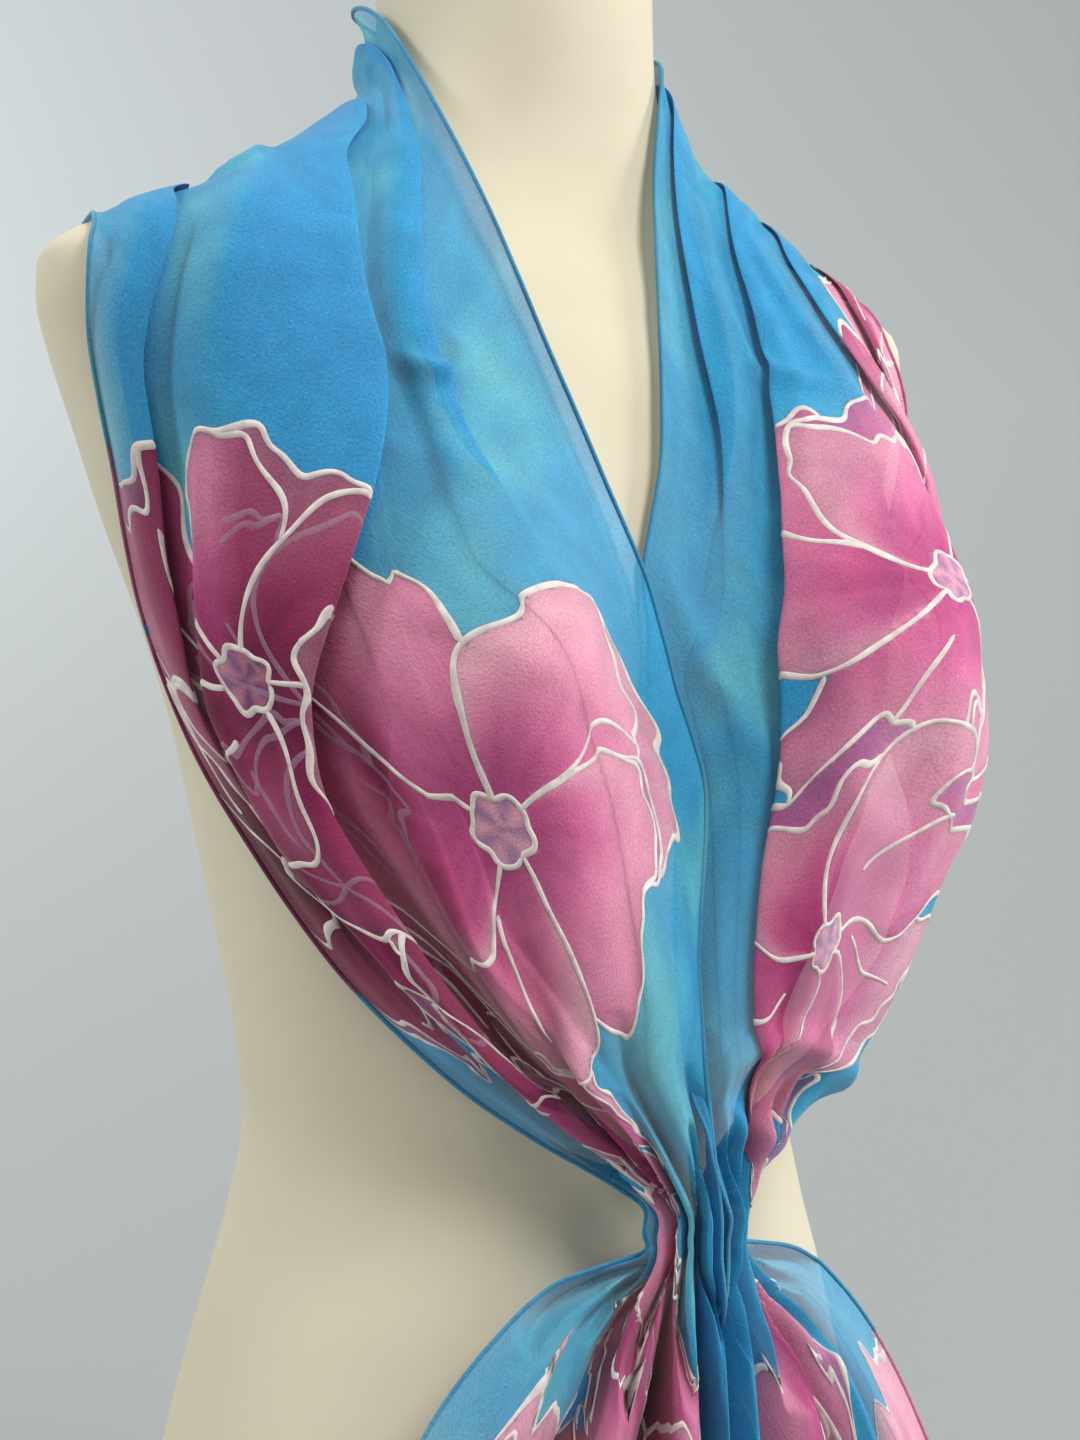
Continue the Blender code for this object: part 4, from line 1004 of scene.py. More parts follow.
def pleated(plain, outwards, rooms, pleats, deepest):
    """Rows whose pleats take up what their folds leave of the width of the cloth."""

    def with_depths(depths):
        return plain - outwards * np.minimum(pleats * depths[:, None], rooms)[..., None]

    least = np.zeros(len(plain))
    most = deepest
    for count in range(DEPTH_HALVINGS):
        depths = 0.5 * (least + most)
        steps = np.linalg.norm(np.diff(with_depths(depths), axis=1), axis=-1)
        wide = steps.sum(axis=1) > CLOTH_WIDTH
        most = np.where(wide, depths, most)
        least = np.where(wide, least, depths)
    kernel = np.exp(-0.5 * (np.arange(-FINE_ROWS, FINE_ROWS + 1) / (DEPTH_SPREAD * FINE_ROWS)) ** 2)
    padded = np.pad(least, FINE_ROWS, mode="edge")
    return with_depths(np.convolve(padded, kernel / kernel.sum(), mode="valid"))


def worn_scarf(stations):
    """Points of the folded scarf and how far it lies double, with painted shade in its hollows: a row
    for each station, columns along the threads of the cloth."""
    sheet = fine_sheet(stations)
    off_gather = np.array([from_gather(station)[0] for station in stations])
    normals = fold_directions(sheet, off_gather)
    widths = np.linalg.norm(np.diff(sheet, axis=1), axis=-1).sum(axis=1)
    sections = [np.stack(fold_section(station, width), -1) for station, width in zip(stations, widths)]
    sections = rounded(np.array(sections), ROUNDING)
    surfaces = form_surfaces()
    rows = [
        folded_row(station, sheet[i], normals[i], sections[i], widths[i], surfaces)
        for i, station in enumerate(stations)
    ]
    points = pleated(*(np.array(each) for each in zip(*rows)))
    margin = (GATHER_MARGIN * np.minimum(1.0, 2 * off_gather))[:, None]
    names = ("right_gather_low", "right_gather", "left_gather", "left_gather_low")
    low, top, far_top, far_low = (STATION_INDEX[name] for name in names)
    on_panel = ((stations > top) & (stations < far_top))[:, None]
    in_tail = ((stations < low) | (stations > far_low))[:, None]
    up = points[..., 2]
    up = np.where(on_panel, np.maximum(up, GATHER_TOP + margin), up)
    points[..., 2] = np.where(in_tail, np.minimum(up, GATHER_BOTTOM - margin), up)
    return points, lying_double_and_shaded(sections[..., 0], stations, widths)


def cloth_coordinates(points, stations):
    """Where each point lies on the flat cloth: from the inner hem, and along it from the nape."""
    steps = np.linalg.norm(np.diff(points, axis=1), axis=-1)
    across = np.concatenate([np.zeros((len(points), 1)), np.cumsum(steps, axis=1)], axis=1)
    across = across / across[:, -1:] * CLOTH_WIDTH
    steps = np.linalg.norm(np.diff(points, axis=0), axis=-1)
    along = np.concatenate([np.zeros((1, points.shape[1])), np.cumsum(steps, axis=0)], axis=0)
    middle = int(np.argmin(np.abs(stations - NAPE)))
    return across, along - along[middle]


# How much deeper the colour goes where the cloth lies double: station, share
DEEPENING = (
    ("right_tail_end", 0.80),
    ("right_gather", 0.90),
    ("right_rib", 1.00),
    ("right_shoulder", 1.00),
    ("left_shoulder", 0.90),
    ("left_collar_bone", 0.60),
    ("left_chest", 0.30),
    ("left_rib", 0.35),
    ("left_gather", 0.80),
    ("left_tail_end", 0.80),
)


def lying_double_and_shaded(places, stations, widths):
    """For each point: 0 where the cloth is single, 1 where a fold lays it over itself, and more
    where it is bunched and where painted shade darkens the hollows beside the folds."""
    double_and_shade = np.zeros(places.shape)
    deepening = column(DEEPENING, 1, stations)
    for i, row in enumerate(places):
        low = np.minimum(row[:-1], row[1:])
        high = np.maximum(row[:-1], row[1:])
        over = ((low[None] <= row[:, None]) & (row[:, None] < high[None])).sum(axis=1)
        double_and_shade[i] = deepening[i] * np.clip(over - 1, 0, 2) / 2
        for centre, place, reach, breadth, amount in BUNCHED_AND_PAINTED_SHADE:
            away = ((stations[i] - centre) / reach) ** 2 + ((row / widths[i] - place) / breadth) ** 2
            double_and_shade[i] = np.maximum(double_and_shade[i], amount * np.exp(-away))
    padded = np.pad(double_and_shade, ((1, 1), (2, 2)), mode="edge")
    rows, columns = places.shape
    total = sum(padded[i:i + rows, j:j + columns] for i in range(3) for j in range(5))
    return total / 15


# ---------------------------------------------------------------- making meshes
def grid_faces(rows, columns, closed=False):
    """Quads between the rows of a grid, as an array of corner indices."""
    i = np.arange(rows - 1)[:, None]
    j = np.arange(columns if closed else columns - 1)[None, :]
    a = i * columns + j
    b = i * columns + (j + 1) % columns
    return np.stack([a, a + columns, b + columns, b], -1).reshape(-1, 4)


def add_mesh(name, points, faces, materials, normals=None, material_indices=None):
    points = np.asarray(points, np.float32).reshape(-1, 3)
    faces = np.asarray(faces, np.int32)
    mesh = bpy.data.meshes.new(name)
    mesh.vertices.add(len(points))
    mesh.vertices.foreach_set("co", points.ravel())
    mesh.loops.add(faces.size)
    mesh.loops.foreach_set("vertex_index", faces.ravel())
    mesh.polygons.add(len(faces))
    mesh.polygons.foreach_set("loop_start", np.arange(0, faces.size, faces.shape[1], dtype=np.int32))
    mesh.polygons.foreach_set("use_smooth", np.ones(len(faces), bool))
    for material in materials:
        mesh.materials.append(material)
    if material_indices is not None:
        mesh.polygons.foreach_set("material_index", np.asarray(material_indices, np.int32))
    mesh.update(calc_edges=True)
    if normals is not None:
        mesh.normals_split_custom_set_from_vertices(np.asarray(normals, float).reshape(-1, 3))
    made = bpy.data.objects.new(name, mesh)
    bpy.context.scene.collection.objects.link(made)
    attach(made, "root")
    return made


def tube_along(path, outward, radius, sides=6):
    """Points, normals and faces of a thin open tube along a path."""
    ahead = unit(np.gradient(path, axis=0))
    up = unit(outward - ahead * np.sum(outward * ahead, axis=-1, keepdims=True))
    side = np.cross(ahead, up)
    angle = 2 * math.pi * np.arange(sides) / sides
    ring = up[:, None] * np.cos(angle)[None, :, None] + side[:, None] * np.sin(angle)[None, :, None]
    return path[:, None] + radius * ring, ring, grid_faces(len(path), sides, closed=True)[:, ::-1]


def joined(parts):
    """Several sets of points, normals, faces, cloth coordinates with doubling and painted shade, and
    material number, as one set."""
    sets = []
    count = 0
    for points, normals, faces, flat, number in parts:
        points, normals, flat = (each.reshape(-1, 3) for each in (points, normals, flat))
        sets.append((points, normals, faces + count, flat, np.full(len(faces), number)))
        count += len(points)
    return tuple(np.concatenate(each) for each in zip(*sets))


def add_cloth_coordinates(made, flat):
    """The flat cloth's own coordinates in metres, as the UV map."""
    mesh = made.data
    layer = mesh.uv_layers.new(name="cloth")
    corners = np.empty(len(mesh.loops), np.int32)
    mesh.loops.foreach_get("vertex_index", corners)
    layer.uv.foreach_set("vector", flat[corners].astype(np.float32).ravel())


def add_pigment(made, colours, doubling_and_shade):
    """The paint, and how far the cloth lies double with painted shade in its hollows, as attributes of
    the points.
    """
    layer = made.data.color_attributes.new(name="pigment", type="FLOAT_COLOR", domain="POINT")
    layer.data.foreach_set("color", np.asarray(colours, np.float32).ravel())
    grey = np.repeat(np.asarray(doubling_and_shade, np.float32)[:, None], 4, axis=1)
    layer = made.data.color_attributes.new(name="doubling_and_shade", type="FLOAT_COLOR", domain="POINT")
    layer.data.foreach_set("color", grey.ravel())


# ---------------------------------------------------------------- the painted flowers
# Open blossoms: place across the cloth, place along it from the nape (to the form's left is
# positive), length of a petal, turn in degrees, petals, how pale
BLOSSOMS = (
    # The first blossom lies in the hollows low on the right panel; its deep tone, pale below 0, is partly
    # painted shade
    (0.322, -0.520, 0.090, 50, 5, -0.20),
    (0.205, -0.590, 0.084, -15, 5, 0.40),
    (0.268, -0.425, 0.098, 12, 5, 0.50),
    (0.136, -0.452, 0.112, 62, 5, 0.95),
    (0.305, 0.318, 0.084, 10, 5, 0.75),
    (0.215, 0.395, 0.106, -38, 5, 1.10),
    (0.305, 0.485, 0.090, 70, 5, 0.95),
    (0.170, 0.545, 0.100, 22, 5, 1.10),
    (0.235, -0.880, 0.096, 0, 5, 0.80),
    (0.105, -0.850, 0.092, 75, 5, 0.60),
    (0.185, -0.745, 0.094, 30, 5, 0.80),
    (0.285, 0.945, 0.104, 15, 5, 1.00),
    (0.110, 0.880, 0.092, 50, 5, 0.60),
    (0.155, 0.780, 0.090, -25, 5, 0.80),
)

# Leaves and buds under the blossoms: place across, place along, length, turn in degrees,
# half their angle in degrees
LEAVES = (
    (0.175, -0.370, 0.085, -110, 26),
    (0.320, -0.560, 0.066, 60, 30),
    (0.180, -0.640, 0.062, 75, 30),
    (0.150, 0.330, 0.078, -140, 28),
    (0.120, 0.430, 0.066, 175, 30),
    (0.095, 0.590, 0.066, 120, 30),
    (0.205, 0.625, 0.066, 80, 30),
    (0.070, -0.780, 0.062, -150, 28),
    (0.110, 0.720, 0.060, -120, 30),
    (0.240, 0.740, 0.066, -60, 28),
)
HEART_SHARE = 0.12
SWIRL = 0.38
RIM_DEPTH = 0.19
LINE_WIDTH = 0.0023
LINE_STEP = 0.0013
LINE_HEIGHT = 0.00045
# How far along the cloth from the nape its plainer, gathered ends begin
ENDS_FROM = 0.66
# No shape reaches further from its centre than this many times its size
SHAPE_REACH = 1.2
LEAST_EDGE = 1e-6

BURGUNDY = np.array((0.240, 0.010, 0.090))
MAGENTA = np.array((0.550, 0.048, 0.250))
ROSE = np.array((0.830, 0.175, 0.420))
PALE_ROSE = np.array((0.900, 0.430, 0.570))
LILAC = np.array((0.440, 0.220, 0.440))
PALE_LILAC = np.array((0.740, 0.460, 0.560))
VIOLET = np.array((0.200, 0.180, 0.460))

# Two layers of dyed cloth filter the light twice, and the painted shade in the hollows is deepened the
# same way: how much steeper and how much darker
DOUBLED_POWER = 0.45
DOUBLED_SHADE = 0.48


def calm(shape):
    """Share of its ruffles that a shape keeps: the shapes of the gathered ends are plainer."""
    return 0.35 if abs(shape["centre"][1]) > ENDS_FROM else 1.0


def ruffle(number, share):
    """Uneven waves along an edge."""
    return (
        0.52 * np.sin(4.7 * share + 1.7 * number)
        + 0.30 * np.sin(9.1 * share + 2.9 * number)
        + 0.18 * np.sin(18.3 * share + 4.3 * number)
    )


def painted_shapes(leaves, blossoms):
    """Every leaf, petal and heart, the lowest first."""
    shapes = []
    for number, (x, y, size, turn, half_angle) in enumerate(leaves):
        shapes.append({
            "kind": "leaf", "centre": (x, y), "size": size, "angle": math.radians(turn),
            "half": math.radians(half_angle), "number": 100 + number, "swirl": 0.5 * SWIRL,
            "rim": (-0.10, 0.80, 0.8), "pale": 0.5,
        })
    for number, (x, y, size, turn, petals, pale) in enumerate(blossoms):
        for petal in range(petals):
            seed = 10 * number + petal
            length = size * (1 + 0.10 * math.sin(2.3 * seed))
            start = -0.82 + 0.45 * (0.5 + 0.5 * math.sin(1.9 * seed))
            shapes.append({
                "kind": "petal", "centre": (x, y), "size": length,
                "angle": math.radians(turn) + 2 * math.pi * (petal + 0.12 * math.sin(3.1 * seed)) / petals,
                "half": math.pi / petals * 1.42, "number": seed, "swirl": SWIRL,
                "rim": (start, start + 1.10 + 0.3 * math.sin(2.7 * seed), 0.7 + 0.5 * math.sin(1.3 * seed)),
                "pale": pale,
            })
        shapes.append({
            "kind": "heart", "centre": (x, y), "size": size * HEART_SHARE, "angle": math.radians(turn),
            "half": math.pi, "number": number, "swirl": 0.0, "rim": None, "pale": 0.0,
        })
    return shapes


def edge_radius(shape, share):
    """Distance from the centre to the edge of a shape, at a share of its half angle."""
    if shape["kind"] == "heart":
        return shape["size"] * (1 + 0.09 * np.cos(5 * math.pi * share) + 0.04 * np.sin(8 * math.pi * share))
    share = np.clip(share, -1, 1)
    if shape["kind"] == "leaf":
        body = np.clip(1 - np.abs(share) ** 1.6, 0, 1) ** 0.7
        return shape["size"] * body * (1 + 0.06 * calm(shape) * ruffle(shape["number"], 1.2 * share))
    body = np.clip(1 - np.abs(share) ** 3.2, 0, 1) ** 0.45
    notch = 1 - 0.07 * np.exp(-(((share - 0.2 * math.sin(shape["number"])) / 0.30) ** 2))
    return shape["size"] * body * notch * (1 + 0.075 * calm(shape) * ruffle(shape["number"], 1.5 * share))


def rim_depth(shape, share):
    """Width of the turned-over rim, 0 where the edge lies flat."""
    if shape["rim"] is None:
        return np.zeros_like(share)
    start, end, amount = shape["rim"]
    t = np.clip((share - start) / (end - start), 0, 1)
    depth = np.sin(math.pi * t) ** 1.3 * (1 + 0.30 * calm(shape) * ruffle(shape["number"] + 5, 1.4 * share))
    return RIM_DEPTH * shape["size"] * max(amount, 0.0) * np.clip(depth, 0, None)


def turned(shape, away):
    """Turn of a shape at a distance from its centre: a swirl, and waves along its sides."""
    out = away / shape["size"]
    number = shape["number"]
    if shape["kind"] == "heart":
        return np.zeros_like(out)
    waves = 0.10 * np.sin(6.5 * out + 2.3 * number) + 0.04 * np.sin(15.0 * out + 1.1 * number)
    return shape["swirl"] * out + calm(shape) * waves * np.clip(out, 0, 1)


def in_shape(shape, x, y):
    """Share of the half angle, distance from the centre and the edge's distance, for flat points."""
    away_x = x - shape["centre"][0]
    away_y = y - shape["centre"][1]
    away = np.hypot(away_x, away_y)
    angle = np.arctan2(away_y, away_x) - shape["angle"] - turned(shape, away)
    angle = (angle + math.pi) % (2 * math.pi) - math.pi
    share = angle / shape["half"]
    return share, away, np.where(np.abs(share) <= 1, edge_radius(shape, share), 0.0)


def blend(one, other, share):
    share = np.clip(share, 0, 1)[..., None]
    return one * (1 - share) + other * share


def shape_colour(shape, share, away, edge):
    """Colour inside a shape: deep at its root and under its neighbour, paler outwards."""
    out = np.clip(away / np.maximum(edge, LEAST_EDGE), 0, 1)
    number = shape["number"]
    if shape["kind"] == "heart":
        return blend(LILAC, PALE_ROSE, 0.5 + 0.5 * np.sin(5 * math.pi * share))
    if shape["kind"] == "leaf":
        colour = blend(VIOLET, LILAC, out + 0.2 * ruffle(number, 3 * share))
        rim = PALE_LILAC
    else:
        streaks = ruffle(number + 3, 3 * share) * smooth_step(3 * out) * (1 - out)
        pale = np.full_like(out, shape["pale"] + 0.15 * math.sin(2.1 * number))
        depth = smooth_step((out - 0.05) / 0.55) + 0.22 * streaks
        colour = blend(blend(BURGUNDY, MAGENTA, 0.35 + 0.5 * pale), blend(MAGENTA, ROSE, pale), depth)
        colour = blend(colour, PALE_ROSE, 0.70 * pale * smooth_step((out - 0.35) / 0.5) * (1 - 0.5 * share))
        colour = blend(colour, MAGENTA, 0.45 * smooth_step((share - 0.45) / 0.5))
        rim = PALE_LILAC if math.sin(3.7 * number) > 0 else LILAC
    pooled = np.exp(-np.clip(edge - away, 0, None) / (0.045 * shape["size"]))
    colour = colour * (1 - 0.26 * pooled)[..., None]
    on_rim = (away > edge - rim_depth(shape, share)).astype(float)
    from_edge = (edge - away) / (RIM_DEPTH * shape["size"])
    rosy = 0.30 + 0.3 * from_edge + 0.2 * ruffle(number, 9 * share)
    rims = blend(np.broadcast_to(rim, colour.shape), ROSE, rosy)
    return colour * (1 - on_rim[..., None]) + rims * on_rim[..., None]


def painted_colours(flat, doubling_and_shade, shapes):
    """Colour and cover of the paint at flat points of the cloth, deeper where it lies double and
    where painted shade lies in the hollows beside the folds.
    """
    colours = np.zeros((len(flat), 4))
    for shape in shapes:
        off = np.abs(flat - shape["centre"])
        near = np.flatnonzero((off < SHAPE_REACH * shape["size"]).all(axis=1))
        share, away, edge = in_shape(shape, flat[near, 0], flat[near, 1])
        inside = away < edge
        colours[near[inside], :3] = shape_colour(shape, share, away, edge)[inside]
        colours[near[inside], 3] = 1.0
    deepen_by = doubling_and_shade[:, None]
    colours[:, :3] = colours[:, :3] ** (1 + DOUBLED_POWER * deepen_by) * DOUBLED_SHADE ** deepen_by
    return colours


def evenly(path, step):
    """A path with points an even step apart."""
    reach = np.concatenate([[0.0], np.cumsum(np.linalg.norm(np.diff(path, axis=0), axis=-1))])
    wanted = np.linspace(0, reach[-1], max(int(round(reach[-1] / step)), 2) + 1)
    return np.stack([np.interp(wanted, reach, path[:, k]) for k in range(2)], -1)


def shape_lines(shape):
    """The outline of a shape, and the line under its turned-over rim."""
    t = np.linspace(-1, 1, 401)
    share = np.sign(t) * (1 - (1 - np.abs(t)) ** 3)
    edge = edge_radius(shape, share)

    def path(radius, share):
        angle = shape["angle"] + shape["half"] * share + turned(shape, radius)
        flat = np.stack([np.cos(angle), np.sin(angle)], -1) * radius[:, None]
        return evenly(flat + np.array(shape["centre"]), LINE_STEP)

    lines = [path(edge, share)]
    if shape["kind"] == "petal" and math.sin(2.9 * shape["number"]) > -0.2:
        out = np.linspace(0.32, 0.80, 120)
        vein = 0.30 * math.sin(1.7 * shape["number"]) + 0.55 * (out - 0.5) * math.cos(4.1 * shape["number"])
        lines.append(path(out * edge_radius(shape, vein), vein))
    if shape["rim"] is not None:
        start, end, amount = shape["rim"]
        if amount > 0.25:
            share = np.linspace(max(start, -0.9), min(end, 0.9), 200)
            lines.append(path(edge_radius(shape, share) - rim_depth(shape, share), share))
    return lines


def runs_shown(line, shown, least):
    """The stretches of a line that are shown and have more points than the least."""
    ends = np.flatnonzero(np.diff(np.concatenate([[0], shown.astype(int), [0]])))
    return [line[start:end] for start, end in zip(ends[0::2], ends[1::2]) if end - start > least]


def visible_runs(line, later):
    """The stretches of a line that lie on the cloth and under none of the later shapes."""
    x, y = line.T
    shown = (x > HEM_MARGIN) & (x < CLOTH_WIDTH - HEM_MARGIN)
    for shape in later:
        nearest = np.hypot(shape["centre"][0] - x, shape["centre"][1] - y).min()
        if nearest < SHAPE_REACH * shape["size"]:
            share, away, edge = in_shape(shape, x, y)
            shown &= ~(away < edge - HIDDEN_FROM)
    return runs_shown(line, shown, LEAST_VISIBLE)


def resist_lines(shapes):
    """All the visible lines of the design, as flat paths."""
    runs = []
    for index, shape in enumerate(shapes):
        for line in shape_lines(shape):
            runs += visible_runs(line, shapes[index + 1:])
    return runs


def between_lines(grid, places):
    """Lines of a grid, at places with fractions between its own."""
    low = np.clip(places.astype(int), 0, len(grid) - 2)
    part = (places - low)[:, None]
    return grid[low] * (1 - part) + grid[low + 1] * part


def places_among(lines, values):
    """Where each value falls, with fractions, in its own rising line of numbers."""
    pick = np.arange(len(values))
    spot = np.clip((lines < values[:, None]).sum(axis=1) - 1, 0, lines.shape[1] - 2)
    gap = np.maximum(lines[pick, spot + 1] - lines[pick, spot], LEAST_GAP)
    return spot + np.clip((values - lines[pick, spot]) / gap, 0, 1)


def on_worn_cloth(flat):
    """Row and column, with fractions, of flat points in the grid of the worn scarf."""
    rows = np.interp(flat[:, 1], along[:, along.shape[1] // 2], np.arange(len(along)))
    for count in range(PLACING_PASSES):
        columns = places_among(between_lines(across, rows), flat[:, 0])
        rows = places_among(between_lines(along.T, columns), flat[:, 1])
    return rows, columns


def between(grid, rows, columns):
    """Values of a grid at rows and columns with fractions."""
    row = np.clip(rows.astype(int), 0, grid.shape[0] - 2)
    left = np.clip(columns.astype(int), 0, grid.shape[1] - 2)
    down = (rows - row)[:, None]
    over = (columns - left)[:, None]
    upper = grid[row, left] * (1 - over) + grid[row, left + 1] * over
    lower = grid[row + 1, left] * (1 - over) + grid[row + 1, left + 1] * over
    return upper * (1 - down) + lower * down


# Cross-section of a raised line: place, from one side to the other, and share of its height
LINE_PROFILE = ((-1.0, 0.12), (-0.6, 0.80), (0.0, 1.00), (0.6, 0.80), (1.0, 0.12))


# Blossoms on the layer beneath, whose lines show faintly where a fold lays the cloth double: place
# across and along, length of a petal, turn in degrees, petals, how pale
BENEATH = (
    (0.244, -0.436, 0.074, 38, 5, 0.5),
    (0.262, -0.505, 0.064, -20, 5, 0.5),
)
SEEN_FROM = 0.30
FAINT_HEIGHT = 0.00016
# A line on top, and one beneath, is drawn only where more of its points than this are shown
LEAST_VISIBLE = 3
LEAST_FAINT = 12
HEM_MARGIN = 0.0015
# How deep inside the edge of a later shape a line is hidden
HIDDEN_FROM = 0.0006
LEAST_GAP = 1e-9
PLACING_PASSES = 7
PLACED_AT_ONCE = 4000


def seen_through(shapes):
    """The outlines of the blossoms beneath, cut to where the cloth lies double, painted shade counted in.
    """
    faint = []
    for run in resist_lines(shapes):
        rows, columns = on_worn_cloth(run)
        shown = between(scarf_double_and_shade[..., None], rows, columns)[:, 0] > SEEN_FROM
        faint += runs_shown(run, shown, LEAST_FAINT)
    return faint


def raised_lines(runs, line_height):
    """Points, faces and middle rows of thin raised ribbons along flat paths on the worn scarf."""
    flat = []
    heights = []
    faces = []
    count = 0
    for number, run in enumerate(runs):
        ahead = unit(np.gradient(run, axis=0))
        aside = np.stack([-ahead[:, 1], ahead[:, 0]], -1)
        reach = np.arange(len(run)) * LINE_STEP
        uneven = 1 + 0.16 * np.sin(190 * reach + number) + 0.12 * np.sin(71 * reach + 2 * number)
        width = LINE_WIDTH * uneven
        taper = np.clip(np.minimum(reach, reach[::-1]) / (0.8 * LINE_WIDTH) + 0.35, 0, 1)
        for offset, height in LINE_PROFILE:
            flat.append(run + aside * (0.5 * width * taper * offset)[:, None])
            heights.append(np.full(len(run), line_height * height))
        strips = np.arange(len(LINE_PROFILE) * len(run)).reshape(len(LINE_PROFILE), len(run)) + count
        a, b, c, d = strips[:-1, :-1], strips[1:, :-1], strips[1:, 1:], strips[:-1, 1:]
        faces.append(np.stack([a, d, c, b], -1).reshape(-1, 4))
        count += strips.size
    flat = np.concatenate(flat)
    heights = np.concatenate(heights)
    starts = range(0, len(flat), PLACED_AT_ONCE)
    found = [on_worn_cloth(flat[start:start + PLACED_AT_ONCE]) for start in starts]
    rows, columns = (np.concatenate(each) for each in zip(*found))
    base = between(scarf, rows, columns)
    outward = unit(between(scarf_normals, rows, columns))
    return base + outward * heights[:, None], np.concatenate(faces), rows


# ---------------------------------------------------------------- materials
def new_material(name, roughness):
    made = bpy.data.materials.new(name)
    made.use_nodes = True
    tree = made.node_tree
    shader = tree.nodes["Principled BSDF"]
    shader.inputs["Roughness"].default_value = roughness
    return made, tree, shader


def noise(tree, coordinates, scale, detail, roughness=0.55):
    node = tree.nodes.new("ShaderNodeTexNoise")
    node.inputs["Scale"].default_value = scale
    node.inputs["Detail"].default_value = detail
    node.inputs["Roughness"].default_value = roughness
    tree.links.new(coordinates, node.inputs["Vector"])
    return node


def spread(tree, value, low, high, to_low, to_high):
    node = tree.nodes.new("ShaderNodeMapRange")
    node.inputs["From Min"].default_value = low
    node.inputs["From Max"].default_value = high
    node.inputs["To Min"].default_value = to_low
    node.inputs["To Max"].default_value = to_high
    tree.links.new(value, node.inputs["Value"])
    return node.outputs["Result"]


def mixed(tree, factor, one, other, mode="MIX"):
    """A mix of two colours. Of a mix node's sockets, 0 is the factor, 6 and 7 are the colours, and
    output 2 is the mixed colour."""
    node = tree.nodes.new("ShaderNodeMix")
    node.data_type = "RGBA"
    node.blend_type = mode
    for index, value in ((0, factor), (6, one), (7, other)):
        if isinstance(value, (float, tuple)):
            node.inputs[index].default_value = value
        else:
            tree.links.new(value, node.inputs[index])
    return node.outputs[2]


def bump(tree, shader, height, strength, distance):
    node = tree.nodes.new("ShaderNodeBump")
    node.inputs["Strength"].default_value = strength
    node.inputs["Distance"].default_value = distance
    tree.links.new(height, node.inputs["Height"])
    tree.links.new(node.outputs["Normal"], shader.inputs["Normal"])


SKY = (0.030, 0.350, 0.640, 1.0)
SKY_DEEP = (0.036, 0.275, 0.570, 1.0)
AQUA = (0.130, 0.540, 0.620, 1.0)

# How closed the cloth is, from single to lying double and bunched, painted shade counted in: doubling
# and shade, opacity
CLOSED = ((0.0, 0.74), (0.25, 0.79), (0.5, 0.84), (0.75, 0.88), (1.0, 0.92), (1.5, 0.97))


def dyed(tree, shade):
    """Colour of the cloth: the cloudy blue ground, the paint over it and their mottling."""
    place = tree.nodes.new("ShaderNodeUVMap")
    place.uv_map = "cloth"
    where = place.outputs["UV"]
    cloud = noise(tree, where, 9.0, 3.0)
    patch = noise(tree, where, 7.0, 3.0, 0.6)
    grain = noise(tree, where, 850.0, 2.0, 0.75)
    double_and_shade = tree.nodes.new("ShaderNodeVertexColor")
    double_and_shade.layer_name = "doubling_and_shade"
    aqua = mixed(tree, spread(tree, patch.outputs["Fac"], 0.50, 0.66, 0.0, 0.8), SKY, AQUA)
    deep = mixed(tree, spread(tree, cloud.outputs["Fac"], 0.40, 0.60, 0.55, 1.0), SKY, SKY_DEEP)
    # The blue deepens where the cloth lies double and where painted shade lies in the hollows
    ground = mixed(tree, double_and_shade.outputs["Color"], aqua, deep)
    pigment = tree.nodes.new("ShaderNodeVertexColor")
    pigment.layer_name = "pigment"
    ground = mixed(tree, pigment.outputs["Alpha"], ground, pigment.outputs["Color"])
    wash = noise(tree, where, 55.0, 5.0, 0.65)
    mottle = spread(tree, wash.outputs["Fac"], 0.3, 0.7, 0.86 * shade, 1.12 * shade)
    tone = tree.nodes.new("ShaderNodeMath")
    tone.operation = "MULTIPLY"
    tree.links.new(mottle, tone.inputs[0])
    tree.links.new(spread(tree, grain.outputs["Fac"], 0.3, 0.7, 0.80, 1.20), tone.inputs[1])
    grey = tree.nodes.new("ShaderNodeCombineColor")
    for index in range(3):
        tree.links.new(tone.outputs[0], grey.inputs[index])
    return mixed(tree, 1.0, ground, grey.outputs["Color"], "MULTIPLY"), grain.outputs["Fac"]


def chiffon(name, opacity):
    """Sheer crepe chiffon."""
    made, tree, shader = new_material(name, 0.82)
    colour, grain = dyed(tree, 1.0)
    tree.links.new(colour, shader.inputs["Base Color"])
    shader.inputs["Alpha"].default_value = opacity
    shader.inputs["Sheen Weight"].default_value = 0.20
    shader.inputs["Sheen Roughness"].default_value = 0.45
    shader.inputs["Specular IOR Level"].default_value = 0.25
    bump(tree, shader, grain, 0.75, 0.00055)
    return made


def hem_thread():
    """The rolled hem: the same cloth rolled up, so darker and closed."""
    made, tree, shader = new_material("rolled_hem", 0.75)
    colour, grain = dyed(tree, 0.62)
    tree.links.new(colour, shader.inputs["Base Color"])
    shader.inputs["Sheen Weight"].default_value = 0.2
    bump(tree, shader, grain, 0.3, 0.0003)
    return made


def two_toned(name, roughness, scale, low, high, one, other):
    """A material whose two tones run softly into each other."""
    made, tree, shader = new_material(name, roughness)
    where = tree.nodes.new("ShaderNodeTexCoord").outputs["Object"]
    soft = noise(tree, where, scale, 3.0)
    colour = mixed(tree, spread(tree, soft.outputs["Fac"], low, high, 0.0, 1.0), one, other)
    tree.links.new(colour, shader.inputs["Base Color"])
    return made, tree, shader, where


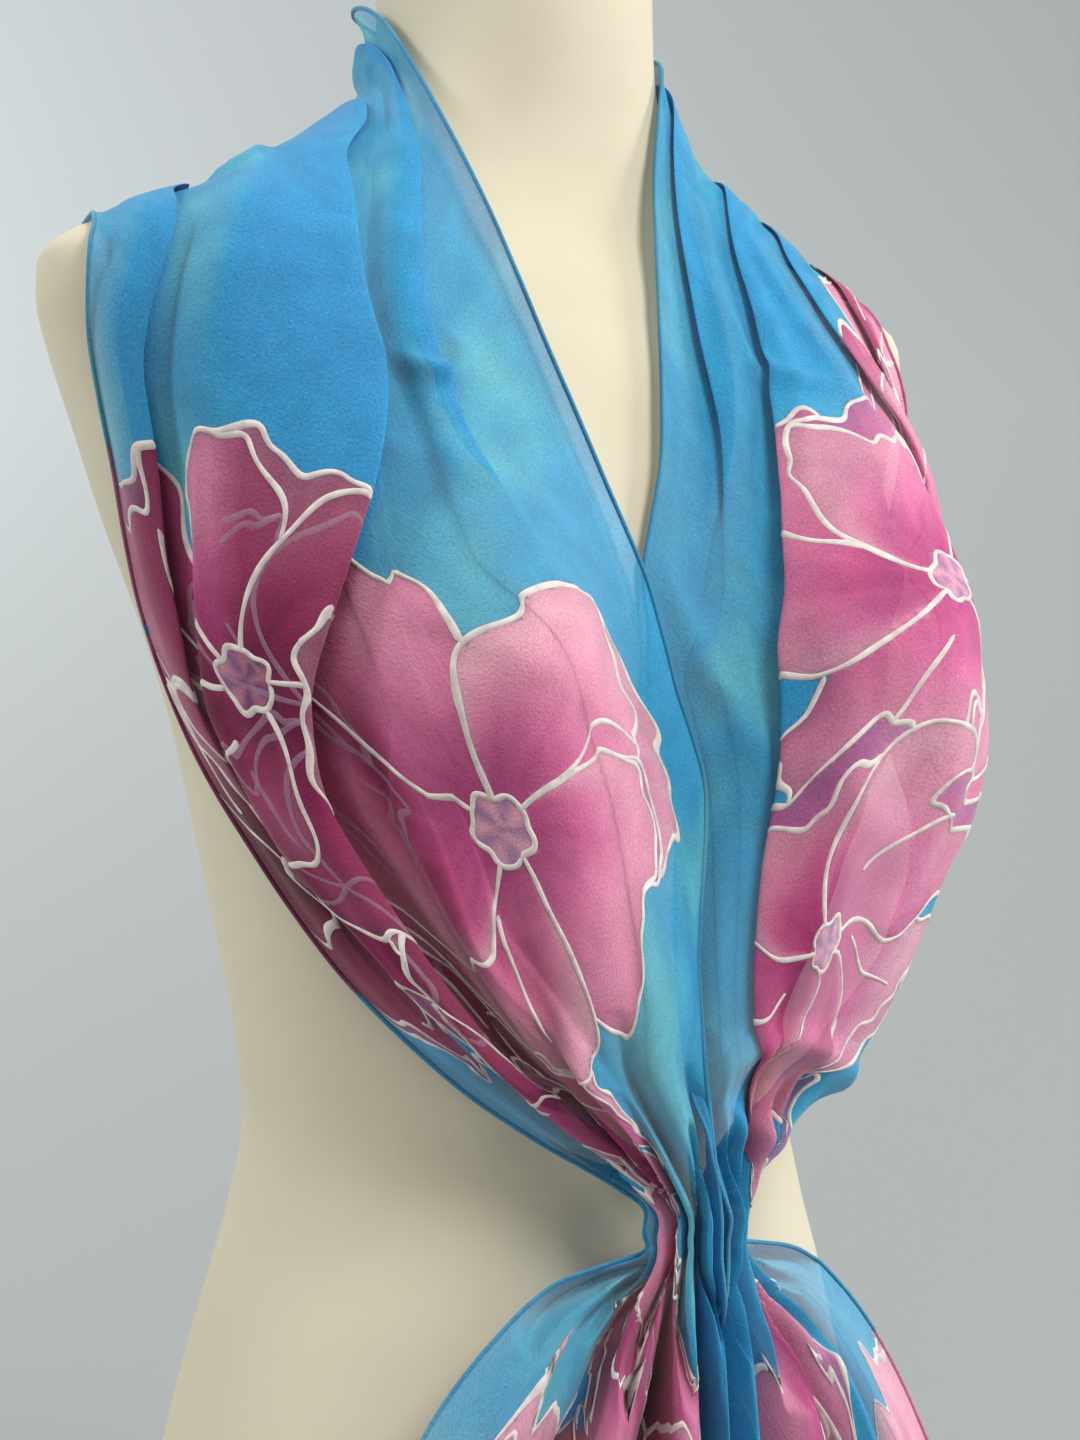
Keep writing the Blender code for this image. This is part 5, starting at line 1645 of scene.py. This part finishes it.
def resist():
    """The raised off-white lines that held the dyes apart."""
    one = (0.780, 0.720, 0.660, 1.0)
    other = (0.560, 0.470, 0.470, 1.0)
    made, tree, shader, where = two_toned("resist_line", 0.55, 160.0, 0.35, 0.70, one, other)
    shader.inputs["Specular IOR Level"].default_value = 0.35
    bump(tree, shader, noise(tree, where, 1500.0, 2.0).outputs["Fac"], 0.25, 0.0002)
    return made


def resist_beneath():
    """The same lines on the layer beneath, seen through the sheer cloth."""
    one = (0.640, 0.420, 0.560, 1.0)
    other = (0.520, 0.320, 0.460, 1.0)
    made, tree, shader, where = two_toned("resist_line_beneath", 0.85, 120.0, 0.35, 0.70, one, other)
    shader.inputs["Alpha"].default_value = 0.32
    shader.inputs["Specular IOR Level"].default_value = 0.2
    return made


def jersey():
    """Cream knitted cover of the dress form."""
    one = (0.625, 0.570, 0.428, 1.0)
    other = (0.665, 0.610, 0.463, 1.0)
    made, tree, shader, where = two_toned("cream_jersey", 0.90, 9.0, 0.35, 0.65, one, other)
    shader.inputs["Sheen Weight"].default_value = 0.15
    shader.inputs["Specular IOR Level"].default_value = 0.20
    bump(tree, shader, noise(tree, where, 1400.0, 2.0, 0.7).outputs["Fac"], 0.20, 0.0003)
    return made


# ---------------------------------------------------------------- the form
def add_dress_form(material):
    sides = 128
    heights = np.concatenate([
        np.linspace(0.0, 0.012, 5),
        np.linspace(0.018, 0.886, 150),
        np.linspace(0.889, FORM_HEIGHT, 10),
    ])
    made = add_mesh(
        "dress_form_cover",
        form_rings(heights, sides),
        grid_faces(len(heights), sides, closed=True),
        [material],
    )
    # Flat caps close the base and the top of the neck
    base = list(range(sides))[::-1]
    top = list(range((len(heights) - 1) * sides, len(heights) * sides))
    for corners in (base, top):
        shape = bmesh.new()
        shape.from_mesh(made.data)
        shape.verts.ensure_lookup_table()
        shape.faces.new([shape.verts[index] for index in corners])
        bmesh.ops.recalc_face_normals(shape, faces=shape.faces)
        shape.to_mesh(made.data)
        shape.free()
    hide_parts("dress_form")


# ---------------------------------------------------------------- build
stations = np.linspace(0, len(STATIONS) - 1, (len(STATIONS) - 1) * FINE_ROWS + 1)
scarf, scarf_double_and_shade = worn_scarf(stations)
scarf_normals = surface_normals(scarf)
across, along = cloth_coordinates(scarf, stations)

HEM_RADIUS = 0.0009

# The solids of the scarf and the stretches of the cloth that stand for each, from station to station
STRETCHES = (
    ("scarf_tail_right", (("right_tail_end", "right_gather_low"),)),
    ("scarf_gather", (("right_gather_low", "right_gather"), ("left_gather", "left_gather_low"))),
    ("scarf_front_right", (("right_gather", "right_shoulder"),)),
    ("scarf_neck_back", (("right_shoulder", "left_shoulder"),)),
    ("scarf_front_left", (("left_shoulder", "left_gather"),)),
    ("scarf_tail_left", (("left_gather_low", "left_tail_end"),)),
)


def row_of(name):
    """Row of the worn scarf at a named station."""
    return STATION_INDEX[name] * FINE_ROWS


def stretch_parts(first, last):
    """The sheet between two rows and the rolled hems along its edges."""
    rows = slice(first, last + 1)
    flat = np.stack([across[rows], along[rows], scarf_double_and_shade[rows]], -1)
    parts = [(scarf[rows], scarf_normals[rows], grid_faces(*flat.shape[:2]), flat, 0)]
    edges = [(scarf[rows, edge], scarf_normals[rows, edge], flat[:, edge]) for edge in (0, -1)]
    for row, end in ((first, 0), (last, len(scarf) - 1)):
        if row == end:
            edges.append((scarf[row], scarf_normals[row], flat[row - first]))
    for path, outward, where in edges:
        points, ring, faces = tube_along(path, outward, HEM_RADIUS)
        parts.append((points, ring, faces, np.repeat(where[:, None], ring.shape[1], axis=1), 1))
    return parts


def add_lines(name, spans):
    """The painted lines on some stretches of the cloth, where there are any."""
    own = np.zeros(len(line_faces), bool)
    for first, last in spans:
        own |= (face_rows >= first) & (face_rows < last)
    if not own.any():
        return []
    used, index = np.unique(line_faces[own], return_inverse=True)
    made = add_mesh(
        name,
        line_points[used],
        index.reshape(-1, 4),
        [line_material, beneath_material],
        material_indices=line_kinds[own],
    )
    return [made]


def add_cloth(node, spans):
    """The sheet, hems and painted lines that stand for one solid of the scarf."""
    parts = [part for first, last in spans for part in stretch_parts(first, last)]
    points, normals, faces, flat, numbers = joined(parts)
    # Faces that lie double, and faces in the painted shade of the hollows, get a more closed chiffon
    layers = np.array([double_and_shade for double_and_shade, opacity in CLOSED])
    face_double_and_shade = flat[:, 2][faces].mean(axis=1)
    nearest = np.abs(face_double_and_shade[:, None] - layers).argmin(axis=1)
    numbers = np.where(numbers == 0, nearest, len(layers))
    made = add_mesh(node + "_cloth", points, faces, cloth_materials + [hem_material], normals, numbers)
    add_cloth_coordinates(made, flat[:, :2])
    add_pigment(made, painted_colours(flat[:, :2], flat[:, 2], shapes), flat[:, 2])
    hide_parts(node)
    add_lines(node + "_lines", spans)


add_dress_form(jersey())
cloth_materials = [
    chiffon(f"painted_chiffon_{int(100 * opacity)}", opacity) for double_and_shade, opacity in CLOSED
]
hem_material = hem_thread()
line_material = resist()
beneath_material = resist_beneath()
shapes = painted_shapes(LEAVES, BLOSSOMS)
petals_beneath = [shape for shape in painted_shapes((), BENEATH) if shape["kind"] == "petal"]
line_points, line_faces, line_rows = raised_lines(resist_lines(shapes), LINE_HEIGHT)
faint_points, faint_faces, faint_rows = raised_lines(seen_through(petals_beneath), FAINT_HEIGHT)
line_kinds = np.repeat([0, 1], [len(line_faces), len(faint_faces)])
line_faces = np.concatenate([line_faces, faint_faces + len(line_points)])
line_points = np.concatenate([line_points, faint_points])
line_rows = np.concatenate([line_rows, faint_rows])
face_rows = line_rows[line_faces].mean(axis=1)
for node, names in STRETCHES:
    add_cloth(node, [(row_of(first), row_of(last)) for first, last in names])

# ---------------------------------------------------------------- camera, light and floor
CAMERA_TURN = math.radians(35.0)
CAMERA_DISTANCE = 0.92
CAMERA_ASIDE = 0.0097
CAMERA_HEIGHT = 0.564
CAMERA_LENS = 54.75
camera_data = bpy.data.cameras.new("camera")
camera_data.lens = CAMERA_LENS
camera_data.sensor_width = 36.0
camera_data.clip_start = 0.01
camera = bpy.data.objects.new("camera", camera_data)
camera.location = (
    -math.sin(CAMERA_TURN) * CAMERA_DISTANCE + math.cos(CAMERA_TURN) * CAMERA_ASIDE,
    -math.cos(CAMERA_TURN) * CAMERA_DISTANCE - math.sin(CAMERA_TURN) * CAMERA_ASIDE,
    CAMERA_HEIGHT,
)
camera.rotation_euler = (0.5 * math.pi, 0.0, -CAMERA_TURN)
bpy.context.scene.collection.objects.link(camera)
bpy.context.scene.camera = camera


def add_light(name, location, target, size, energy, colour):
    data = bpy.data.lights.new(name, "AREA")
    data.shape = "SQUARE"
    data.size = size
    data.energy = energy
    data.color = colour
    light = bpy.data.objects.new(name, data)
    light.location = location
    light.rotation_euler = (Vector(target) - Vector(location)).to_track_quat("-Z", "Y").to_euler()
    bpy.context.scene.collection.objects.link(light)


# name, place, point it faces, size, power, colour
LIGHTS = (
    ("key", (0.42, -1.85, 2.60), (0.0, 0.0, 0.52), 1.0, 60.0, (1.0, 0.99, 0.97)),
    ("side", (2.1, -1.2, 1.0), (0.0, 0.0, 0.45), 0.9, 28.0, (0.98, 1.0, 1.0)),
    ("fill", (-2.6, 1.0, 2.2), (-0.4, 3.4, 1.4), 1.4, 115.0, (0.97, 0.99, 1.0)),
    ("wall", (-0.6, 3.0, 1.6), (1.1, 3.6, 1.2), 0.8, 12.0, (0.97, 0.99, 1.0)),
)
for light_row in LIGHTS:
    add_light(*light_row)

world = bpy.data.worlds.new("studio")
bpy.context.scene.world = world
world.use_nodes = True
background = world.node_tree.nodes["Background"]
background.inputs["Color"].default_value = (0.86, 0.84, 0.80, 1.0)
background.inputs["Strength"].default_value = 0.54
bpy.context.scene.view_settings.view_transform = "Standard"


# The floor lies this far below the base of the form
FLOOR_GAP = 0.0005


def add_floor():
    """A pale floor that curves up into a wall behind the form."""
    bend_start = 0.6
    radius = 2.8
    bend_steps = 32
    half_breadth = 7.0
    wall_height = 7.0
    profile = [(-6.0, 0.0)]
    for step in range(bend_steps + 1):
        angle = 0.5 * math.pi * step / bend_steps
        profile.append((bend_start + radius * math.sin(angle), radius - radius * math.cos(angle)))
    profile.append((bend_start + radius, wall_height))
    turn = -CAMERA_TURN
    points = []
    for depth, height in profile:
        for side in (-half_breadth, half_breadth):
            x = side * math.cos(turn) - depth * math.sin(turn)
            y = side * math.sin(turn) + depth * math.cos(turn)
            points.append((x, y, height - FLOOR_GAP))
    faces = grid_faces(len(profile), 2)[:, ::-1]
    made, tree, shader = new_material("pale_floor", 0.9)
    place = tree.nodes.new("ShaderNodeNewGeometry")
    parts = tree.nodes.new("ShaderNodeSeparateXYZ")
    tree.links.new(place.outputs["Position"], parts.inputs["Vector"])
    height = spread(tree, parts.outputs["Z"], 0.0, 1.1, 0.0, 1.0)
    # Painted shade: the floor is darker low down and paler up the wall
    colour = mixed(tree, height, (0.350, 0.375, 0.375, 1.0), (0.450, 0.480, 0.490, 1.0))
    tree.links.new(colour, shader.inputs["Base Color"])
    floor = add_mesh("floor", points, faces, [made])


add_floor()
